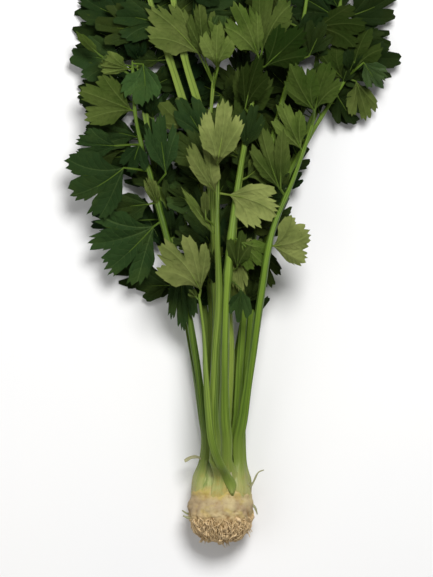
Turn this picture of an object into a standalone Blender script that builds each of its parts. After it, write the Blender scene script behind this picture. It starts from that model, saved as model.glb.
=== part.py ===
"""A leafy celeriac as it is pulled and washed, lying on its side.

Every object is one piece of the plant: the swollen bulb with its roots, and the fronds, each of which is a ribbed
stalk with its leaflets. The script works in millimetres, from the middle of the bulb: X across the plant, Y from
the roots to the leaf tips, Z up from the surface that it lies on. Meshes are written in metres, moved so that the
middle of the plant's outline stands at the origin.
"""

import math
import random
from dataclasses import dataclass, field

import bmesh
import bpy
import numpy as np

METRES = 0.001
MIDDLE = (12.5, 295.0)

# The bulb: its radius at stations along its own axis, from the root end to the growing point
BULB_AXIS_HEIGHT = 31.8
BULB_PROFILE = [
    (-32, 2), (-29, 13), (-24, 22.5), (-17, 29), (-8, 32.3), (0, 33), (8, 32), (15, 29.5),
    (21, 25.5), (28, 20.5), (35, 14), (40, 7.5), (42, 2),
]
BULB_END = -32.0
BULB_TOP = 42.0
BULB_SIDES = 26
BULB_RINGS = 14
SCAR_RINGS = 4
SCAR_HEIGHT = 0.9
FIT_GAP = 0.35
NECK_CUT_FROM = -20.0

# The roots: short and curled over the lower third, with a few longer strands that stand out of the outline
ROOT_COUNT = 38
ROOT_RADIUS = 1.5
ROOT_LENGTHS = (11, 19)
ROOTS_FROM = -6.0
ROOTS_TO = -29.0
LOOSE_STRANDS = {
    "strand_left": [(-27, -4, 34), (-33, -6.5, 35), (-39, -3, 36)],
    "strand_low_left": [(-26, -8, 40), (-32, -10, 42), (-38, -8, 42)],
    "strand_right": [(29, 4, 36), (34, 0, 37), (36.5, -7, 36)],
    "foot_right": [(26, 16, 38.5), (32, 25, 41), (37, 35, 43), (43, 38, 43)],
}

# A torn sheath at the foot of one stalk: the middle of the dry strip that hangs from it, and its half widths
TORN_FROND = "frond_left"
TORN_STRIP = [(-15, 46, 39), (-22, 50, 38), (-29, 50.5, 36.5), (-36.5, 46.5, 35)]
TORN_WIDTHS = (1.6, 1.6, 2.1, 2.5)
TORN_FLATNESS = 0.4

# The ring of stalks round the crown: distance up the axis and radius of the stalks' middle lines
RING_PROFILE = [(4, 16), (14, 21.5), (27, 23.2), (36, 22.2), (45, 20.2), (60, 18.6), (75, 18.2)]
INNER_RING = 0.45
RING_SHIFT = 2.5
NECK_END = 66.0
RING_STATIONS = (4, 14, 27, 36, 45, NECK_END)
LAID_OVER_STATIONS = (12, 20)
FREE_FROM = 104.0
LEAVES_FROM = 190.0

# How high the stalks run in the leaves: the lowest one, the rise to the next and the fall towards the plant's sides
LOWEST_STALK = 9.0
LAYER_STEP = 3.0
HALF_SPAN = 170.0
SIDE_FALL = 0.45
RISE_RUN = 170.0

# The stalks: corners of the ribbed section as shares of half width and half thickness, channel towards the axis
STALK_SECTION = [(1.0, -0.5), (0.8, 0.5), (0.0, 1.0), (-0.8, 0.5), (-1.0, -0.5), (0.0, -0.35)]
STALK_FLATNESS = 0.82
NECK_STATIONS = (0, 13, 27, 44, 66, 92)
STATION_GAP = 56.0
PATH_STEP = 2.0
TAPER = 0.26
END_TAPER = 0.46
CROWN_END = 132.0
CROWN_FADE = 62.0
OUT_TURN = (60.0, 150.0)
TANGENT_REACH = 6.0

# A frond's end leaflet and the pairs behind it, each pair turned further out, on longer stems and a little smaller
PAIR_SPREAD = 56
SPREAD_STEP = 6
END_STEM = 2
STEM_STEP = 7
END_LENGTH = 1.14
LENGTH_STEP = 0.07
WIDTH_STEP = 0.05

# The leaflets: one half of the toothed edge, as degrees from the midrib and share of the length
TOOTHED_EDGE = [
    (0, 1.0), (5.5, 0.86), (11.5, 0.90), (17, 0.60), (22.5, 0.82), (32, 0.92), (37.5, 0.76), (45, 0.78), (56, 0.46),
]
LOBED_EDGE = [(0, 1.0), (10, 0.86), (17, 0.62), (29, 0.92), (42, 0.80), (56, 0.46)]
NARROW_EDGE = [(0, 1.0), (12, 0.78), (34, 0.90), (54, 0.50)]
EDGE_WIDTH = 1.05
INNER_ROW = (-42, -21, 0, 21, 42)
INNER_SHARE = 0.42
BLADE_THICKNESS = 0.9
STEM_HALF_WIDTH = 1.35
STEM_THICKNESS = 2.2
SHORT_STEM = 7.0
TOOTHED_FROM = 60
NARROW_BELOW = 0.36
EDGE_TURN_JITTER = 1.2
EDGE_REACH_JITTER = 0.05

# How far each leaflet may be pitched, rolled, drooped, folded and waved, and how fast it comes free of its stalk
PITCH = 0.08
ROLL = 0.14
DROOP = (0.05, 0.20)
FOLD = (0.06, 0.20)
WAVE = (1.0, 2.0)
WAVES_ROUND = 5
HELD_TO = 2.0
FREE_RUN = 15.0
FREE_ENOUGH = 0.45

# How the fronds lie on each other
CELL = 1.0
CLEARANCE = 1.3
LOWEST = 0.8
LIFT_SLOPE = 0.14
STALK_LIFT_SLOPE = 0.25
NEIGHBOURS = (-16, -10, 10, 16)
SUNK_BELOW = 9.0
UNDERSIDE = 1
UPPER_SIDE = -1


@dataclass
class Leaflet:
    """From the foot of its blade to its tip, both in plan, with its width and the face that it shows."""

    foot: tuple
    tip: tuple
    width: float
    shows: int = 0


@dataclass
class Frond:
    """One leaf of the plant: where it stands on the crown, how wide its stalk is there and above, and where it runs."""

    name: str
    clock: float
    ring: float
    shows: int
    crown_width: float
    width: float
    route: list
    leaflets: list = field(default_factory=list)


def pinnate(route, size, pairs):
    """An end leaflet and pairs behind it, whose distances back along the route are given."""
    path = smooth_path(route, PATH_STEP)
    back = np.concatenate([[0], np.cumsum(np.linalg.norm(np.diff(path[::-1], axis=0), axis=1))])
    made = []
    for number, distance in enumerate([0] + list(pairs)):
        k = int(np.argmin(np.abs(back - distance)))
        node = path[len(path) - 1 - k]
        ahead = node - path[max(0, len(path) - 9 - k)]
        heading = math.atan2(ahead[0], ahead[1])
        for side in (-1, 1) if number else (0,):
            turn = heading + side * math.radians(PAIR_SPREAD + SPREAD_STEP * number)
            way = np.array([math.sin(turn), math.cos(turn)])
            foot = node + way * (END_STEM + STEM_STEP * number)
            tip = foot + way * size * (END_LENGTH - LENGTH_STEP * number)
            made.append(Leaflet(tuple(foot), tuple(tip), size * (1.0 - WIDTH_STEP * number)))
    return made


def leaflets(rows):
    return [Leaflet(*row) for row in rows]


UNDER_MIDDLE = [(-2, 110), (0, 180), (6, 260), (14, 340), (22, 420), (26, 496)]
UNDER_LEFT = [(-11, 110), (-13, 170), (-26, 240), (-48, 320), (-70, 390), (-84, 446), (-88, 498)]
UNDER_RIGHT = [(11, 110), (22, 180), (37, 250), (56, 320), (77, 385), (94, 436), (103, 488)]
LOW_LEFT = [(-22, 110), (-31, 170), (-42, 230), (-57, 300), (-72, 370), (-81, 430), (-85, 474), (-86, 524)]
LOW_RIGHT = [(20, 110), (26, 180), (40, 250), (61, 318), (86, 378), (106, 424), (118, 474), (121, 524)]
INNER_LOW = [(-6, 110), (-8, 180), (-14, 260), (-24, 340), (-38, 410), (-56, 462), (-72, 512), (-84, 560)]
INNER_LEFT = [(-3, 110), (-5, 180), (-8, 260), (-12, 340), (-24, 414), (-40, 462), (-48, 514), (-50, 566)]
INNER_RIGHT = [(18, 120), (22, 183), (27, 230), (35, 290), (47, 350), (62, 410), (76, 460), (86, 510), (90, 560)]


def fronds():
    """All fronds, from the lowest to the topmost, each lying on those before it."""
    return [
        Frond("frond_under_middle", 257, 1, UPPER_SIDE, 4.9, 4.4, UNDER_MIDDLE,
              pinnate(UNDER_MIDDLE, 58, (38, 92, 148))),
        Frond("frond_under_left", 224, 1, UPPER_SIDE, 4.9, 4.4, UNDER_LEFT,
              pinnate(UNDER_LEFT, 58, (36, 92, 146))),
        Frond("frond_under_right", 290, 1, UPPER_SIDE, 4.9, 4.4, UNDER_RIGHT,
              pinnate(UNDER_RIGHT, 56, (36, 84))),
        Frond("frond_low_left", 190, 1, UPPER_SIDE, 4.9, 4.2, LOW_LEFT,
              pinnate(LOW_LEFT, 58, (36, 84)) + leaflets([
                  ((-56, 300), (-30, 346), 40, UPPER_SIDE),
                  ((-84, 372), (-140, 384), 38, UPPER_SIDE),
              ])),
        Frond("frond_low_right", 323, 1, UPPER_SIDE, 4.8, 4.2, LOW_RIGHT,
              pinnate(LOW_RIGHT, 54, (34, 80)) + leaflets([
                  ((117, 414), (136, 384), 36, UPPER_SIDE),
                  ((60, 330), (32, 368), 42, UPPER_SIDE),
                  ((80, 356), (64, 404), 40, UPPER_SIDE),
              ])),
        Frond("frond_inner_low", 285, INNER_RING, UPPER_SIDE, 4.0, 4.0, INNER_LOW,
              pinnate(INNER_LOW, 54, (34, 84)) + leaflets([
                  ((-28, 382), (-62, 408), 40, UNDERSIDE),
                  ((-16, 296), (-50, 330), 40, UPPER_SIDE),
                  ((-10, 300), (16, 346), 40, UPPER_SIDE),
              ])),
        Frond("frond_inner_left", 213, INNER_RING, UPPER_SIDE, 4.0, 4.0, INNER_LEFT,
              pinnate(INNER_LEFT, 54, (34, 84)) + leaflets([
                  ((-14, 372), (-42, 414), 36, UPPER_SIDE),
                  ((-12, 262), (-36, 300), 34, UPPER_SIDE),
                  ((-4, 252), (22, 290), 38, UPPER_SIDE),
              ])),
        Frond("frond_right", 357, 1, UNDERSIDE, 4.8, 4.2,
              [(22, 110), (29, 180), (35, 225), (46, 270), (61, 318), (84, 364), (109, 404), (128, 434)],
              leaflets([
                  ((132, 436), (148, 484), 46, UNDERSIDE),
                  ((136, 428), (147, 386), 34, UNDERSIDE),
                  ((124, 430), (90, 462), 44, UNDERSIDE),
                  ((143, 446), (165, 420), 30, UPPER_SIDE),
                  ((44, 266), (26, 318), 44, UPPER_SIDE),
                  ((98, 396), (82, 440), 40, UPPER_SIDE),
                  ((62, 306), (46, 350), 42, UNDERSIDE),
              ])),
        Frond("frond_inner_right", 357, INNER_RING, UNDERSIDE, 4.0, 4.0, INNER_RIGHT,
              pinnate(INNER_RIGHT, 54, (34, 82)) + leaflets([
                  ((70, 446), (50, 470), 32, UPPER_SIDE),
                  ((88, 452), (100, 490), 38, UPPER_SIDE),
                  ((30, 265), (52, 220), 34, UNDERSIDE),
                  ((42, 352), (14, 398), 46, UNDERSIDE),
                  ((36, 304), (12, 346), 40, UNDERSIDE),
                  ((28, 246), (10, 292), 34, UPPER_SIDE),
              ])),
        Frond("frond_inner_top", 141, INNER_RING, UNDERSIDE, 3.8, 3.6,
              [(-5, 110), (-5, 180), (-7, 260), (-9, 340), (-11, 400), (-7, 436)],
              leaflets([
                  ((-14, 344), (-52, 376), 42, UPPER_SIDE),
                  ((-8, 352), (24, 384), 44, UNDERSIDE),
                  ((-22, 454), (-72, 506), 50, UNDERSIDE),
                  ((-16, 448), (-22, 510), 34, UNDERSIDE),
                  ((2, 460), (3, 508), 30, UNDERSIDE),
                  ((-4, 440), (-4, 484), 40, UNDERSIDE),
              ])),
        Frond("frond_inner_pale", 69, INNER_RING, UNDERSIDE, 3.6, 3.2,
              [(9.5, 120), (10.5, 163), (8, 206), (11, 256), (17, 306), (22, 352), (25, 386)],
              leaflets([
                  ((24, 388), (35, 452), 44, UNDERSIDE),
                  ((20, 366), (-6, 412), 38, UNDERSIDE),
                  ((12, 240), (20, 198), 16, UPPER_SIDE),
                  ((14, 262), (22, 210), 20, UNDERSIDE),
                  ((16, 268), (38, 244), 30, UNDERSIDE),
                  ((26, 330), (58, 352), 40, UPPER_SIDE),
              ])),
        Frond("frond_left", 154, 1, UNDERSIDE, 5.2, 4.1,
              [(-20, 110), (-27, 160), (-38, 218), (-50, 258), (-60, 290), (-70, 330), (-82, 376), (-92, 420), (-89, 448)],
              leaflets([
                  ((-40, 244), (-38, 172), 32, UPPER_SIDE),
                  ((-66, 301), (-75, 334), 14, UNDERSIDE),
                  ((-74, 366), (-92, 332), 32, UPPER_SIDE),
                  ((-104, 362), (-150, 364), 34, UPPER_SIDE),
                  ((-72, 304), (-110, 298), 34, UPPER_SIDE),
                  ((-67, 282), (-126, 240), 86, UPPER_SIDE),
                  ((-97, 340), (-152, 304), 78, UPPER_SIDE),
                  ((-92, 398), (-145, 416), 58, UNDERSIDE),
                  ((-55, 334), (-62, 398), 38, UPPER_SIDE),
                  ((-121, 453), (-148, 478), 10, UNDERSIDE),
                  ((-95, 440), (-130, 448), 26, UNDERSIDE),
                  ((-78, 444), (-76, 400), 44, UPPER_SIDE),
              ])),
        Frond("frond_top_right", 80, 1, UNDERSIDE, 6.1, 4.3,
              [(2.5, 120), (4, 163), (5, 208), (9, 260), (15, 310), (23, 360), (31, 405), (39, 450)],
              leaflets([
                  ((19, 266), (44, 240), 34, UNDERSIDE),
                  ((24, 398), (38, 454), 34, UNDERSIDE),
                  ((41, 456), (52, 524), 46, UNDERSIDE),
                  ((34, 452), (14, 506), 40, UNDERSIDE),
                  ((44, 440), (84, 478), 46, UNDERSIDE),
              ])),
        Frond("frond_far_right", 35, 1, UNDERSIDE, 6.1, 4.4,
              [(27.5, 120), (33, 165), (38, 203), (46, 250), (50, 273), (57, 300), (68, 320), (84, 358), (93, 388)],
              leaflets([
                  ((83, 356), (56, 405), 36, UNDERSIDE),
                  ((51, 262), (90, 268), 54, UNDERSIDE),
                  ((58, 318), (38, 380), 42, UNDERSIDE),
                  ((59, 318), (60, 382), 16, UNDERSIDE),
                  ((94, 398), (107, 448), 40, UNDERSIDE),
                  ((92, 397), (66, 442), 38, UNDERSIDE),
              ])),
        Frond("frond_top_middle", 117, 1, UNDERSIDE, 5.0, 4.3,
              [(-9, 120), (-4, 173), (-2, 228), (-4, 277), (-4, 310), (-3, 336)],
              leaflets([
                  ((-7, 270), (-41, 322), 9, UNDERSIDE),
                  ((-15, 288), (-16, 318), 9, UNDERSIDE),
                  ((8, 312), (62, 296), 50, UNDERSIDE),
                  ((-7, 311), (-30, 368), 30, UNDERSIDE),
                  ((-4, 340), (5, 410), 48, UNDERSIDE),
              ])),
        Frond("frond_small_front", 60, 1.32, UNDERSIDE, 3.4, 3.0,
              [(7, 33), (-1, 47), (-8, 65), (-13, 108), (-16, 163), (-19, 198), (-22, 214)],
              leaflets([
                  ((-21, 207), (-32, 219), 10, UNDERSIDE),
                  ((-20, 218), (-47, 276), 60, UNDERSIDE),
              ])),
    ]


class Pile:
    """The top of what already lies there, on a square grid over the surface."""

    def __init__(self, half_across=280, low=-60, high=720):
        self.corner = np.array([-half_across, low], float)
        shape = (int(2 * half_across / CELL), int((high - low) / CELL))
        self.top = np.full(shape, LOWEST - CLEARANCE)

    def cells(self, plan):
        index = np.floor((plan - self.corner) / CELL).astype(int)
        return np.clip(index, 1, np.array(self.top.shape) - 2)

    def add(self, points, half_thickness):
        index = self.cells(points[:, :2])
        np.maximum.at(self.top, (index[:, 0], index[:, 1]), points[:, 2] + half_thickness)

    def height(self, plan):
        """The highest thing within one cell of each point."""
        index = self.cells(plan)
        around = [self.top[index[:, 0] + i, index[:, 1] + j] for i in (-1, 0, 1) for j in (-1, 0, 1)]
        return np.max(around, axis=0)


def smooth_path(points, step):
    """Points about step apart on a Catmull-Rom curve through the given ones."""
    p = np.array(points, float)
    p = np.vstack([2 * p[0] - p[1], p, 2 * p[-1] - p[-2]])
    made = []
    for a, b, c, d in zip(p[:-3], p[1:-2], p[2:-1], p[3:]):
        count = max(2, int(round(np.linalg.norm(c - b) / step)))
        for t in np.arange(count) / count:
            made.append(0.5 * (2 * b + (c - a) * t + (2 * a - 5 * b + 4 * c - d) * t**2
                               + (3 * b - a - 3 * c + d) * t**3))
    made.append(p[-2])
    return np.array(made)


def ease(t):
    t = np.clip(t, 0, 1)
    return t * t * (3 - 2 * t)


def ring_place(frond, y):
    """Where a stalk stands round the crown at distance y up the axis, as x and z."""
    stations = np.array(RING_PROFILE)
    radius = frond.ring * np.interp(y, stations[:, 0], stations[:, 1])
    angle = math.radians(frond.clock)
    return radius * math.cos(angle) + RING_SHIFT * min(1.0, y / NECK_END), BULB_AXIS_HEIGHT + radius * math.sin(angle)


class Stalk:
    """The middle line of one frond's stalk, as straight lengths between stations, and its section along it."""

    ACROSS = 13

    def __init__(self, frond, layer, pile):
        self.frond = frond
        laid_over = frond.ring > 1
        self.free_from = LAID_OVER_STATIONS[-1] + 4 if laid_over else FREE_FROM
        neck = LAID_OVER_STATIONS if laid_over else RING_STATIONS
        plan = smooth_path([(ring_place(frond, y)[0], y) for y in neck] + list(frond.route), PATH_STEP)
        along = np.concatenate([[0], np.cumsum(np.linalg.norm(np.diff(plan, axis=0), axis=1))])
        y = plan[:, 1]
        at_neck = np.array([ring_place(frond, v)[1] for v in y])
        across = np.clip(np.abs(plan[:, 0]) / HALF_SPAN, 0, 1)
        in_leaves = (LOWEST_STALK + LAYER_STEP * layer) * (1 - SIDE_FALL * across**2)
        z = at_neck + (in_leaves - at_neck) * ease((y - NECK_END) / RISE_RUN)
        self.length = along[-1]
        low = [s for s in NECK_STATIONS if s < self.length]
        count = max(3, int(round((self.length - low[-1]) / STATION_GAP)))
        self.stations = np.concatenate([low, np.linspace(low[-1], self.length, count + 1)[1:]])
        self.line = np.column_stack([np.interp(self.stations, along, c) for c in (plan[:, 0], y, z)])
        self.along = np.linspace(0, self.length, int(self.length / PATH_STEP))
        self.rise_above(pile)
        pile.add(self.footprint(), self.crowned_thickness().ravel())

    def half_width(self, along):
        """Widest at the crown, then narrowing to the end leaflet."""
        share = along / self.length
        frond = self.frond
        above = frond.width * (1 - TAPER * share) * (1 - END_TAPER * ease(2 * share - 1))
        return above + (frond.crown_width - frond.width) * ease((CROWN_END - along) / CROWN_FADE)

    def half_thickness(self, along):
        return self.half_width(along) * STALK_FLATNESS

    def at(self, along):
        return np.array([np.interp(along, self.stations, self.line[:, k]) for k in range(3)])

    def beside(self, distance):
        """The plan of the middle line moved sideways, by one distance or one for each point."""
        middle = self.at(self.along).T
        tangent = np.gradient(middle[:, :2], axis=0)
        tangent /= np.linalg.norm(tangent, axis=1)[:, None]
        normal = np.column_stack([tangent[:, 1], -tangent[:, 0]])
        return middle[:, :2] + normal * np.broadcast_to(distance, len(middle))[:, None]

    def footprint(self):
        rows = [self.beside(share * self.half_width(self.along)) for share in np.linspace(-1, 1, self.ACROSS)]
        z = np.repeat(self.at(self.along)[2][:, None], self.ACROSS, axis=1)
        return np.dstack([np.stack(rows, axis=1), z]).reshape(-1, 3)

    def crowned_thickness(self):
        """Half thickness at each point of the footprint, least at the stalk's edges."""
        share = np.linspace(-1, 1, self.ACROSS)
        return np.outer(self.half_thickness(self.along), np.sqrt(1 - 0.8 * share**2))

    def rise_above(self, pile):
        """Raises the stations until each length between them lies clear of the pile, with no steep climb."""
        spots = self.footprint()
        below = pile.height(spots[:, :2]).reshape(-1, self.ACROSS)
        floor = (below + self.crowned_thickness()).max(axis=1) + CLEARANCE * 0.7
        around = np.max([pile.height(self.beside(d)) for d in NEIGHBOURS], axis=0)
        y = self.at(self.along)[1]
        floor = np.where(y > LEAVES_FROM, np.maximum(floor, around - SUNK_BELOW), floor)
        floor[y < self.free_from] = -99
        length = np.clip(np.searchsorted(self.stations, self.along, side="right"), 1, len(self.stations) - 1)
        apart = np.abs(self.stations[:, None] - self.stations[None, :])
        for _ in range(5):
            short = floor - self.at(self.along)[2]
            need = np.zeros(len(self.stations))
            np.maximum.at(need, length, short)
            np.maximum.at(need, length - 1, short)
            self.line[:, 2] += (need[None, :] - STALK_LIFT_SLOPE * apart).max(axis=1).clip(0)

    def out(self, along):
        """The outer, ribbed side: away from the axis at the crown, then up or down."""
        start = self.frond.clock % 360
        end = 90 if self.frond.shows > 0 else 270
        turn = (end - start + 180) % 360 - 180
        angle = math.radians(start + turn * float(ease((along - OUT_TURN[0]) / OUT_TURN[1])))
        return np.array([math.cos(angle), 0, math.sin(angle)])

    def section(self, along):
        """Corners of the stalk's section, round its middle line."""
        tangent = self.at(min(along + TANGENT_REACH, self.length)) - self.at(max(along - TANGENT_REACH, 0))
        tangent /= np.linalg.norm(tangent)
        out = self.out(along)
        out -= tangent * out.dot(tangent)
        out /= np.linalg.norm(out)
        side = np.cross(tangent, out)
        width, thick = self.half_width(along), self.half_thickness(along)
        middle = self.at(along)
        return [middle + side * s * width + out * o * thick for s, o in STALK_SECTION]

    def node_for(self, foot, ahead):
        """Where along the stalk a leaflet's stem leaves it, so that the stem runs on into the blade."""
        middle = self.at(self.along).T[:, :2]
        away = np.linalg.norm(middle - foot, axis=1)
        nearest = int(np.argmin(away))
        run = middle[min(nearest + 3, len(middle) - 1)] - middle[max(nearest - 3, 0)]
        forward = run.dot(ahead) / np.linalg.norm(run)
        return np.clip(self.along[nearest] - 0.7 * forward * away[nearest], 0, self.length - 3.0)


class Blade:
    """The middle surface of one leaflet, as a height over the plan, in places ahead and right of the blade's foot."""

    def __init__(self, leaflet, stalk, pile, rng):
        self.leaflet = leaflet
        self.shows = leaflet.shows or stalk.frond.shows
        self.foot, tip = np.array(leaflet.foot, float), np.array(leaflet.tip, float)
        self.ahead = (tip - self.foot) / np.linalg.norm(tip - self.foot)
        self.node = stalk.at(stalk.node_for(self.foot, self.ahead))
        away = self.node[:2] - self.foot
        if np.linalg.norm(away) < SHORT_STEM:
            self.foot = self.node[:2] + self.ahead * SHORT_STEM / 2
            away = self.node[:2] - self.foot
        self.length = float(np.linalg.norm(tip - self.foot))
        self.ahead = (tip - self.foot) / self.length
        self.right = np.array([self.ahead[1], -self.ahead[0]])
        self.node_place = np.array([away.dot(self.ahead), away.dot(self.right)])
        self.pitch = rng.uniform(-PITCH, PITCH)
        self.roll = rng.uniform(-ROLL, ROLL)
        self.droop = rng.uniform(*DROOP)
        self.fold = rng.uniform(*FOLD)
        self.wave = rng.uniform(*WAVE)
        self.phase = rng.uniform(0, 2 * math.pi)
        self.jitter = [rng.uniform(-1, 1) for _ in range(40)]
        self.spots, self.need = np.zeros((0, 2)), np.zeros(0)
        self.settle(pile)

    def edge(self):
        """The toothed outline, left to right, as degrees from the midrib and distance from the foot."""
        half = TOOTHED_EDGE if self.length >= TOOTHED_FROM else LOBED_EDGE
        if self.leaflet.width < NARROW_BELOW * self.length:
            half = NARROW_EDGE
        both = [(-a, r) for a, r in half[:0:-1]] + half
        made = []
        for k, (angle, reach) in enumerate(both):
            stretch = 1 + EDGE_REACH_JITTER * self.jitter[-1 - k]
            made.append((angle + EDGE_TURN_JITTER * self.jitter[k], reach * self.length * stretch))
        return made

    def polar(self, angle, reach):
        """Place, ahead and to the right of the foot, of a point at this angle and distance from it."""
        squeeze = self.leaflet.width / (EDGE_WIDTH * self.length)
        a = np.radians(angle)
        return reach * np.cos(a), reach * np.sin(a) * squeeze

    def raised(self, ahead, right):
        """Height of the surface before it is lifted clear of the pile."""
        on_blade = np.maximum(ahead, 0)
        share = np.hypot(on_blade, right) / self.length
        z = self.node[2] + self.pitch * (ahead - self.node_place[0]) + self.roll * right * ease(share * 3)
        z = z - self.droop * on_blade**2 / self.length
        z = z - self.shows * self.fold * (np.hypot(right, 2.0) - 2.0) * ease(on_blade / 8)
        return z + self.wave * share**2 * np.sin(np.arctan2(right, on_blade + 1.0) * WAVES_ROUND + self.phase)

    def plan(self, ahead, right):
        return self.foot + np.outer(ahead, self.ahead) + np.outer(right, self.right)

    def loosening(self, ahead, right):
        """From 0 at the node, which is held by the stalk, to 1 where the leaflet is free to lie."""
        away = np.hypot(ahead - self.node_place[0], right - self.node_place[1])
        return ease((away - HELD_TO) / FREE_RUN)

    def lift(self, ahead, right):
        if not len(self.need):
            return np.zeros(len(ahead))
        far = np.hypot(ahead[:, None] - self.spots[None, :, 0], right[:, None] - self.spots[None, :, 1])
        return np.maximum(0, (self.need[None, :] - LIFT_SLOPE * (np.hypot(far, 6.0) - 6.0)).max(axis=1))

    def surface(self, ahead, right):
        ahead, right = np.atleast_1d(ahead).astype(float), np.atleast_1d(right).astype(float)
        z = self.raised(ahead, right) + self.loosening(ahead, right) * self.lift(ahead, right)
        return np.column_stack([self.plan(ahead, right), z])

    def across_stem(self, place):
        """The left and right corners of the stem's strip, at the node or, turned towards the blade, at the foot."""
        run = -self.node_place / np.linalg.norm(self.node_place)
        if not place.any():
            run = run + np.array([1.0, 0.0])
        side = np.array([-run[1], run[0]]) * STEM_HALF_WIDTH / np.linalg.norm(run)
        return [place - side, place + side]

    def samples(self, across, along):
        """Places all over the leaflet and down its stem."""
        edge = np.array(self.edge())
        angles = np.linspace(edge[0, 0], edge[-1, 0], across)
        reach = np.interp(angles, edge[:, 0], edge[:, 1])
        shares = np.linspace(0.04, 1.0, along)
        ahead, right = self.polar(np.tile(angles, along), np.outer(shares, reach).ravel())
        stem = np.linspace(0.12, 1, 10)
        ahead = np.concatenate([ahead, self.node_place[0] * stem, self.node_place[0] * stem])
        right = np.concatenate([right, self.node_place[1] * stem - 1, self.node_place[1] * stem + 1])
        return ahead, right

    def settle(self, pile):
        """Finds how far each part has to rise to lie clear of the pile, then joins the pile."""
        ahead, right = self.samples(17, 12)
        below = pile.height(self.plan(ahead, right))
        need = below + CLEARANCE + BLADE_THICKNESS / 2 - self.raised(ahead, right)
        free = self.loosening(ahead, right)
        liftable = free > FREE_ENOUGH
        need = need[liftable] / free[liftable]
        keep = need > 0
        self.spots = np.column_stack([ahead[liftable], right[liftable]])[keep]
        self.need = need[keep]
        ahead, right = self.samples(90, 80)
        pile.add(self.surface(ahead, right), BLADE_THICKNESS / 2)


def object_from(name, points, faces, material=None):
    """A closed mesh object, in metres and in its place."""
    shift = np.array([MIDDLE[0], MIDDLE[1], 0.0])
    mesh = bpy.data.meshes.new(name)
    mesh.from_pydata([tuple((np.array(p) - shift) * METRES) for p in points], [], faces)
    work = bmesh.new()
    work.from_mesh(mesh)
    bmesh.ops.recalc_face_normals(work, faces=work.faces)
    work.to_mesh(mesh)
    work.free()
    if material:
        mesh.materials.append(material)
    made = bpy.data.objects.new(name, mesh)
    bpy.context.scene.collection.objects.link(made)
    return made


def tube_mesh(rings):
    """Points and faces of a closed skin over rings of equal count, with flat ends."""
    sides = len(rings[0])
    points = [p for ring in rings for p in ring]
    faces = []
    for r in range(len(rings) - 1):
        for k in range(sides):
            n = (k + 1) % sides
            faces.append((r * sides + k, r * sides + n, (r + 1) * sides + n, (r + 1) * sides + k))
    faces.append(tuple(range(sides)))
    faces.append(tuple((len(rings) - 1) * sides + k for k in range(sides)))
    return points, faces


def turns_left(a, b, c):
    return (b[0] - a[0]) * (c[1] - a[1]) - (b[1] - a[1]) * (c[0] - a[0]) < 0


def zipper(low, high, angles, places):
    """Triangles between two rows of points that run the same way, matched by their angles and never folded."""
    faces, i, j = [], 0, 0
    while i < len(low) - 1 or j < len(high) - 1:
        can_low, can_high = i < len(low) - 1, j < len(high) - 1
        step_high = can_high
        if can_low and can_high:
            here = [places[low[i]], places[high[j]]]
            ahead = angles[high[j + 1]] - angles[high[0]] <= angles[low[i + 1]] - angles[low[0]]
            high_is_open = turns_left(here[0], places[high[j + 1]], here[1])
            low_is_open = turns_left(here[0], places[low[i + 1]], here[1])
            step_high = high_is_open if high_is_open != low_is_open else ahead
        if step_high:
            faces.append((low[i], high[j + 1], high[j]))
            j += 1
        else:
            faces.append((low[i], low[i + 1], high[j]))
            i += 1
    return faces


def leaflet_solid(name, blade):
    """A thin arched solid: a narrow stem that opens into a lobed blade, split alike on both faces."""
    inner = INNER_ROW if blade.length >= TOOTHED_FROM else INNER_ROW[::2]
    reach = [INNER_SHARE * blade.length * (0.7 if abs(a) > 40 else 1.0) for a in inner]
    edge = blade.edge()
    ends = [edge[0][0], edge[-1][0]]
    rows = [
        (blade.across_stem(blade.node_place), ends, STEM_THICKNESS),
        (blade.across_stem(np.zeros(2)), ends, STEM_THICKNESS * 0.8),
        ([blade.polar(a, r) for a, r in zip(inner, reach)], inner, BLADE_THICKNESS * 1.1),
        ([blade.polar(a, r) for a, r in edge], [a for a, _ in edge], BLADE_THICKNESS),
    ]
    places, angles, top, bottom, index = [], [], [], [], []
    for row, row_angles, thickness in rows:
        local = np.array(row)
        angles += list(row_angles)
        index.append(list(range(len(top), len(top) + len(row))))
        places += [tuple(p) for p in row]
        for point in blade.surface(local[:, 0], local[:, 1]):
            top.append(point + np.array([0, 0, thickness / 2]))
            bottom.append(point - np.array([0, 0, thickness / 2]))
    faces = []
    for low, high in zip(index[:-1], index[1:]):
        faces += zipper(low, high, angles, places)
    count = len(top)
    border = index[0][::-1] + [row[0] for row in index[1:-1]] + index[-1] + [row[-1] for row in index[-2:0:-1]]
    under = [tuple(count + v for v in reversed(face)) for face in faces]
    walls = []
    for a, b in zip(border, border[1:] + border[:1]):
        walls += [(a, b, count + b), (a, count + b, count + a)]
    return object_from(name, top + bottom, faces + under + walls)


def join(target, others, operation):
    """Applies one Boolean between the target and a collection of the others, which are then removed."""
    group = bpy.data.collections.new("joined")
    bpy.context.scene.collection.children.link(group)
    for other in others:
        bpy.context.scene.collection.objects.unlink(other)
        group.objects.link(other)
    modifier = target.modifiers.new("join", "BOOLEAN")
    modifier.operation = operation
    modifier.operand_type = "COLLECTION"
    modifier.collection = group
    modifier.solver = "EXACT"
    bpy.context.view_layer.update()
    evaluated = target.evaluated_get(bpy.context.evaluated_depsgraph_get())
    mesh = bpy.data.meshes.new_from_object(evaluated)
    target.modifiers.clear()
    target.data = mesh
    for other in others:
        bpy.data.objects.remove(other)
    bpy.data.collections.remove(group)


def bulb_radius(y):
    stations = np.array(BULB_PROFILE, float)
    return np.interp(y, stations[:, 0], stations[:, 1])


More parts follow.
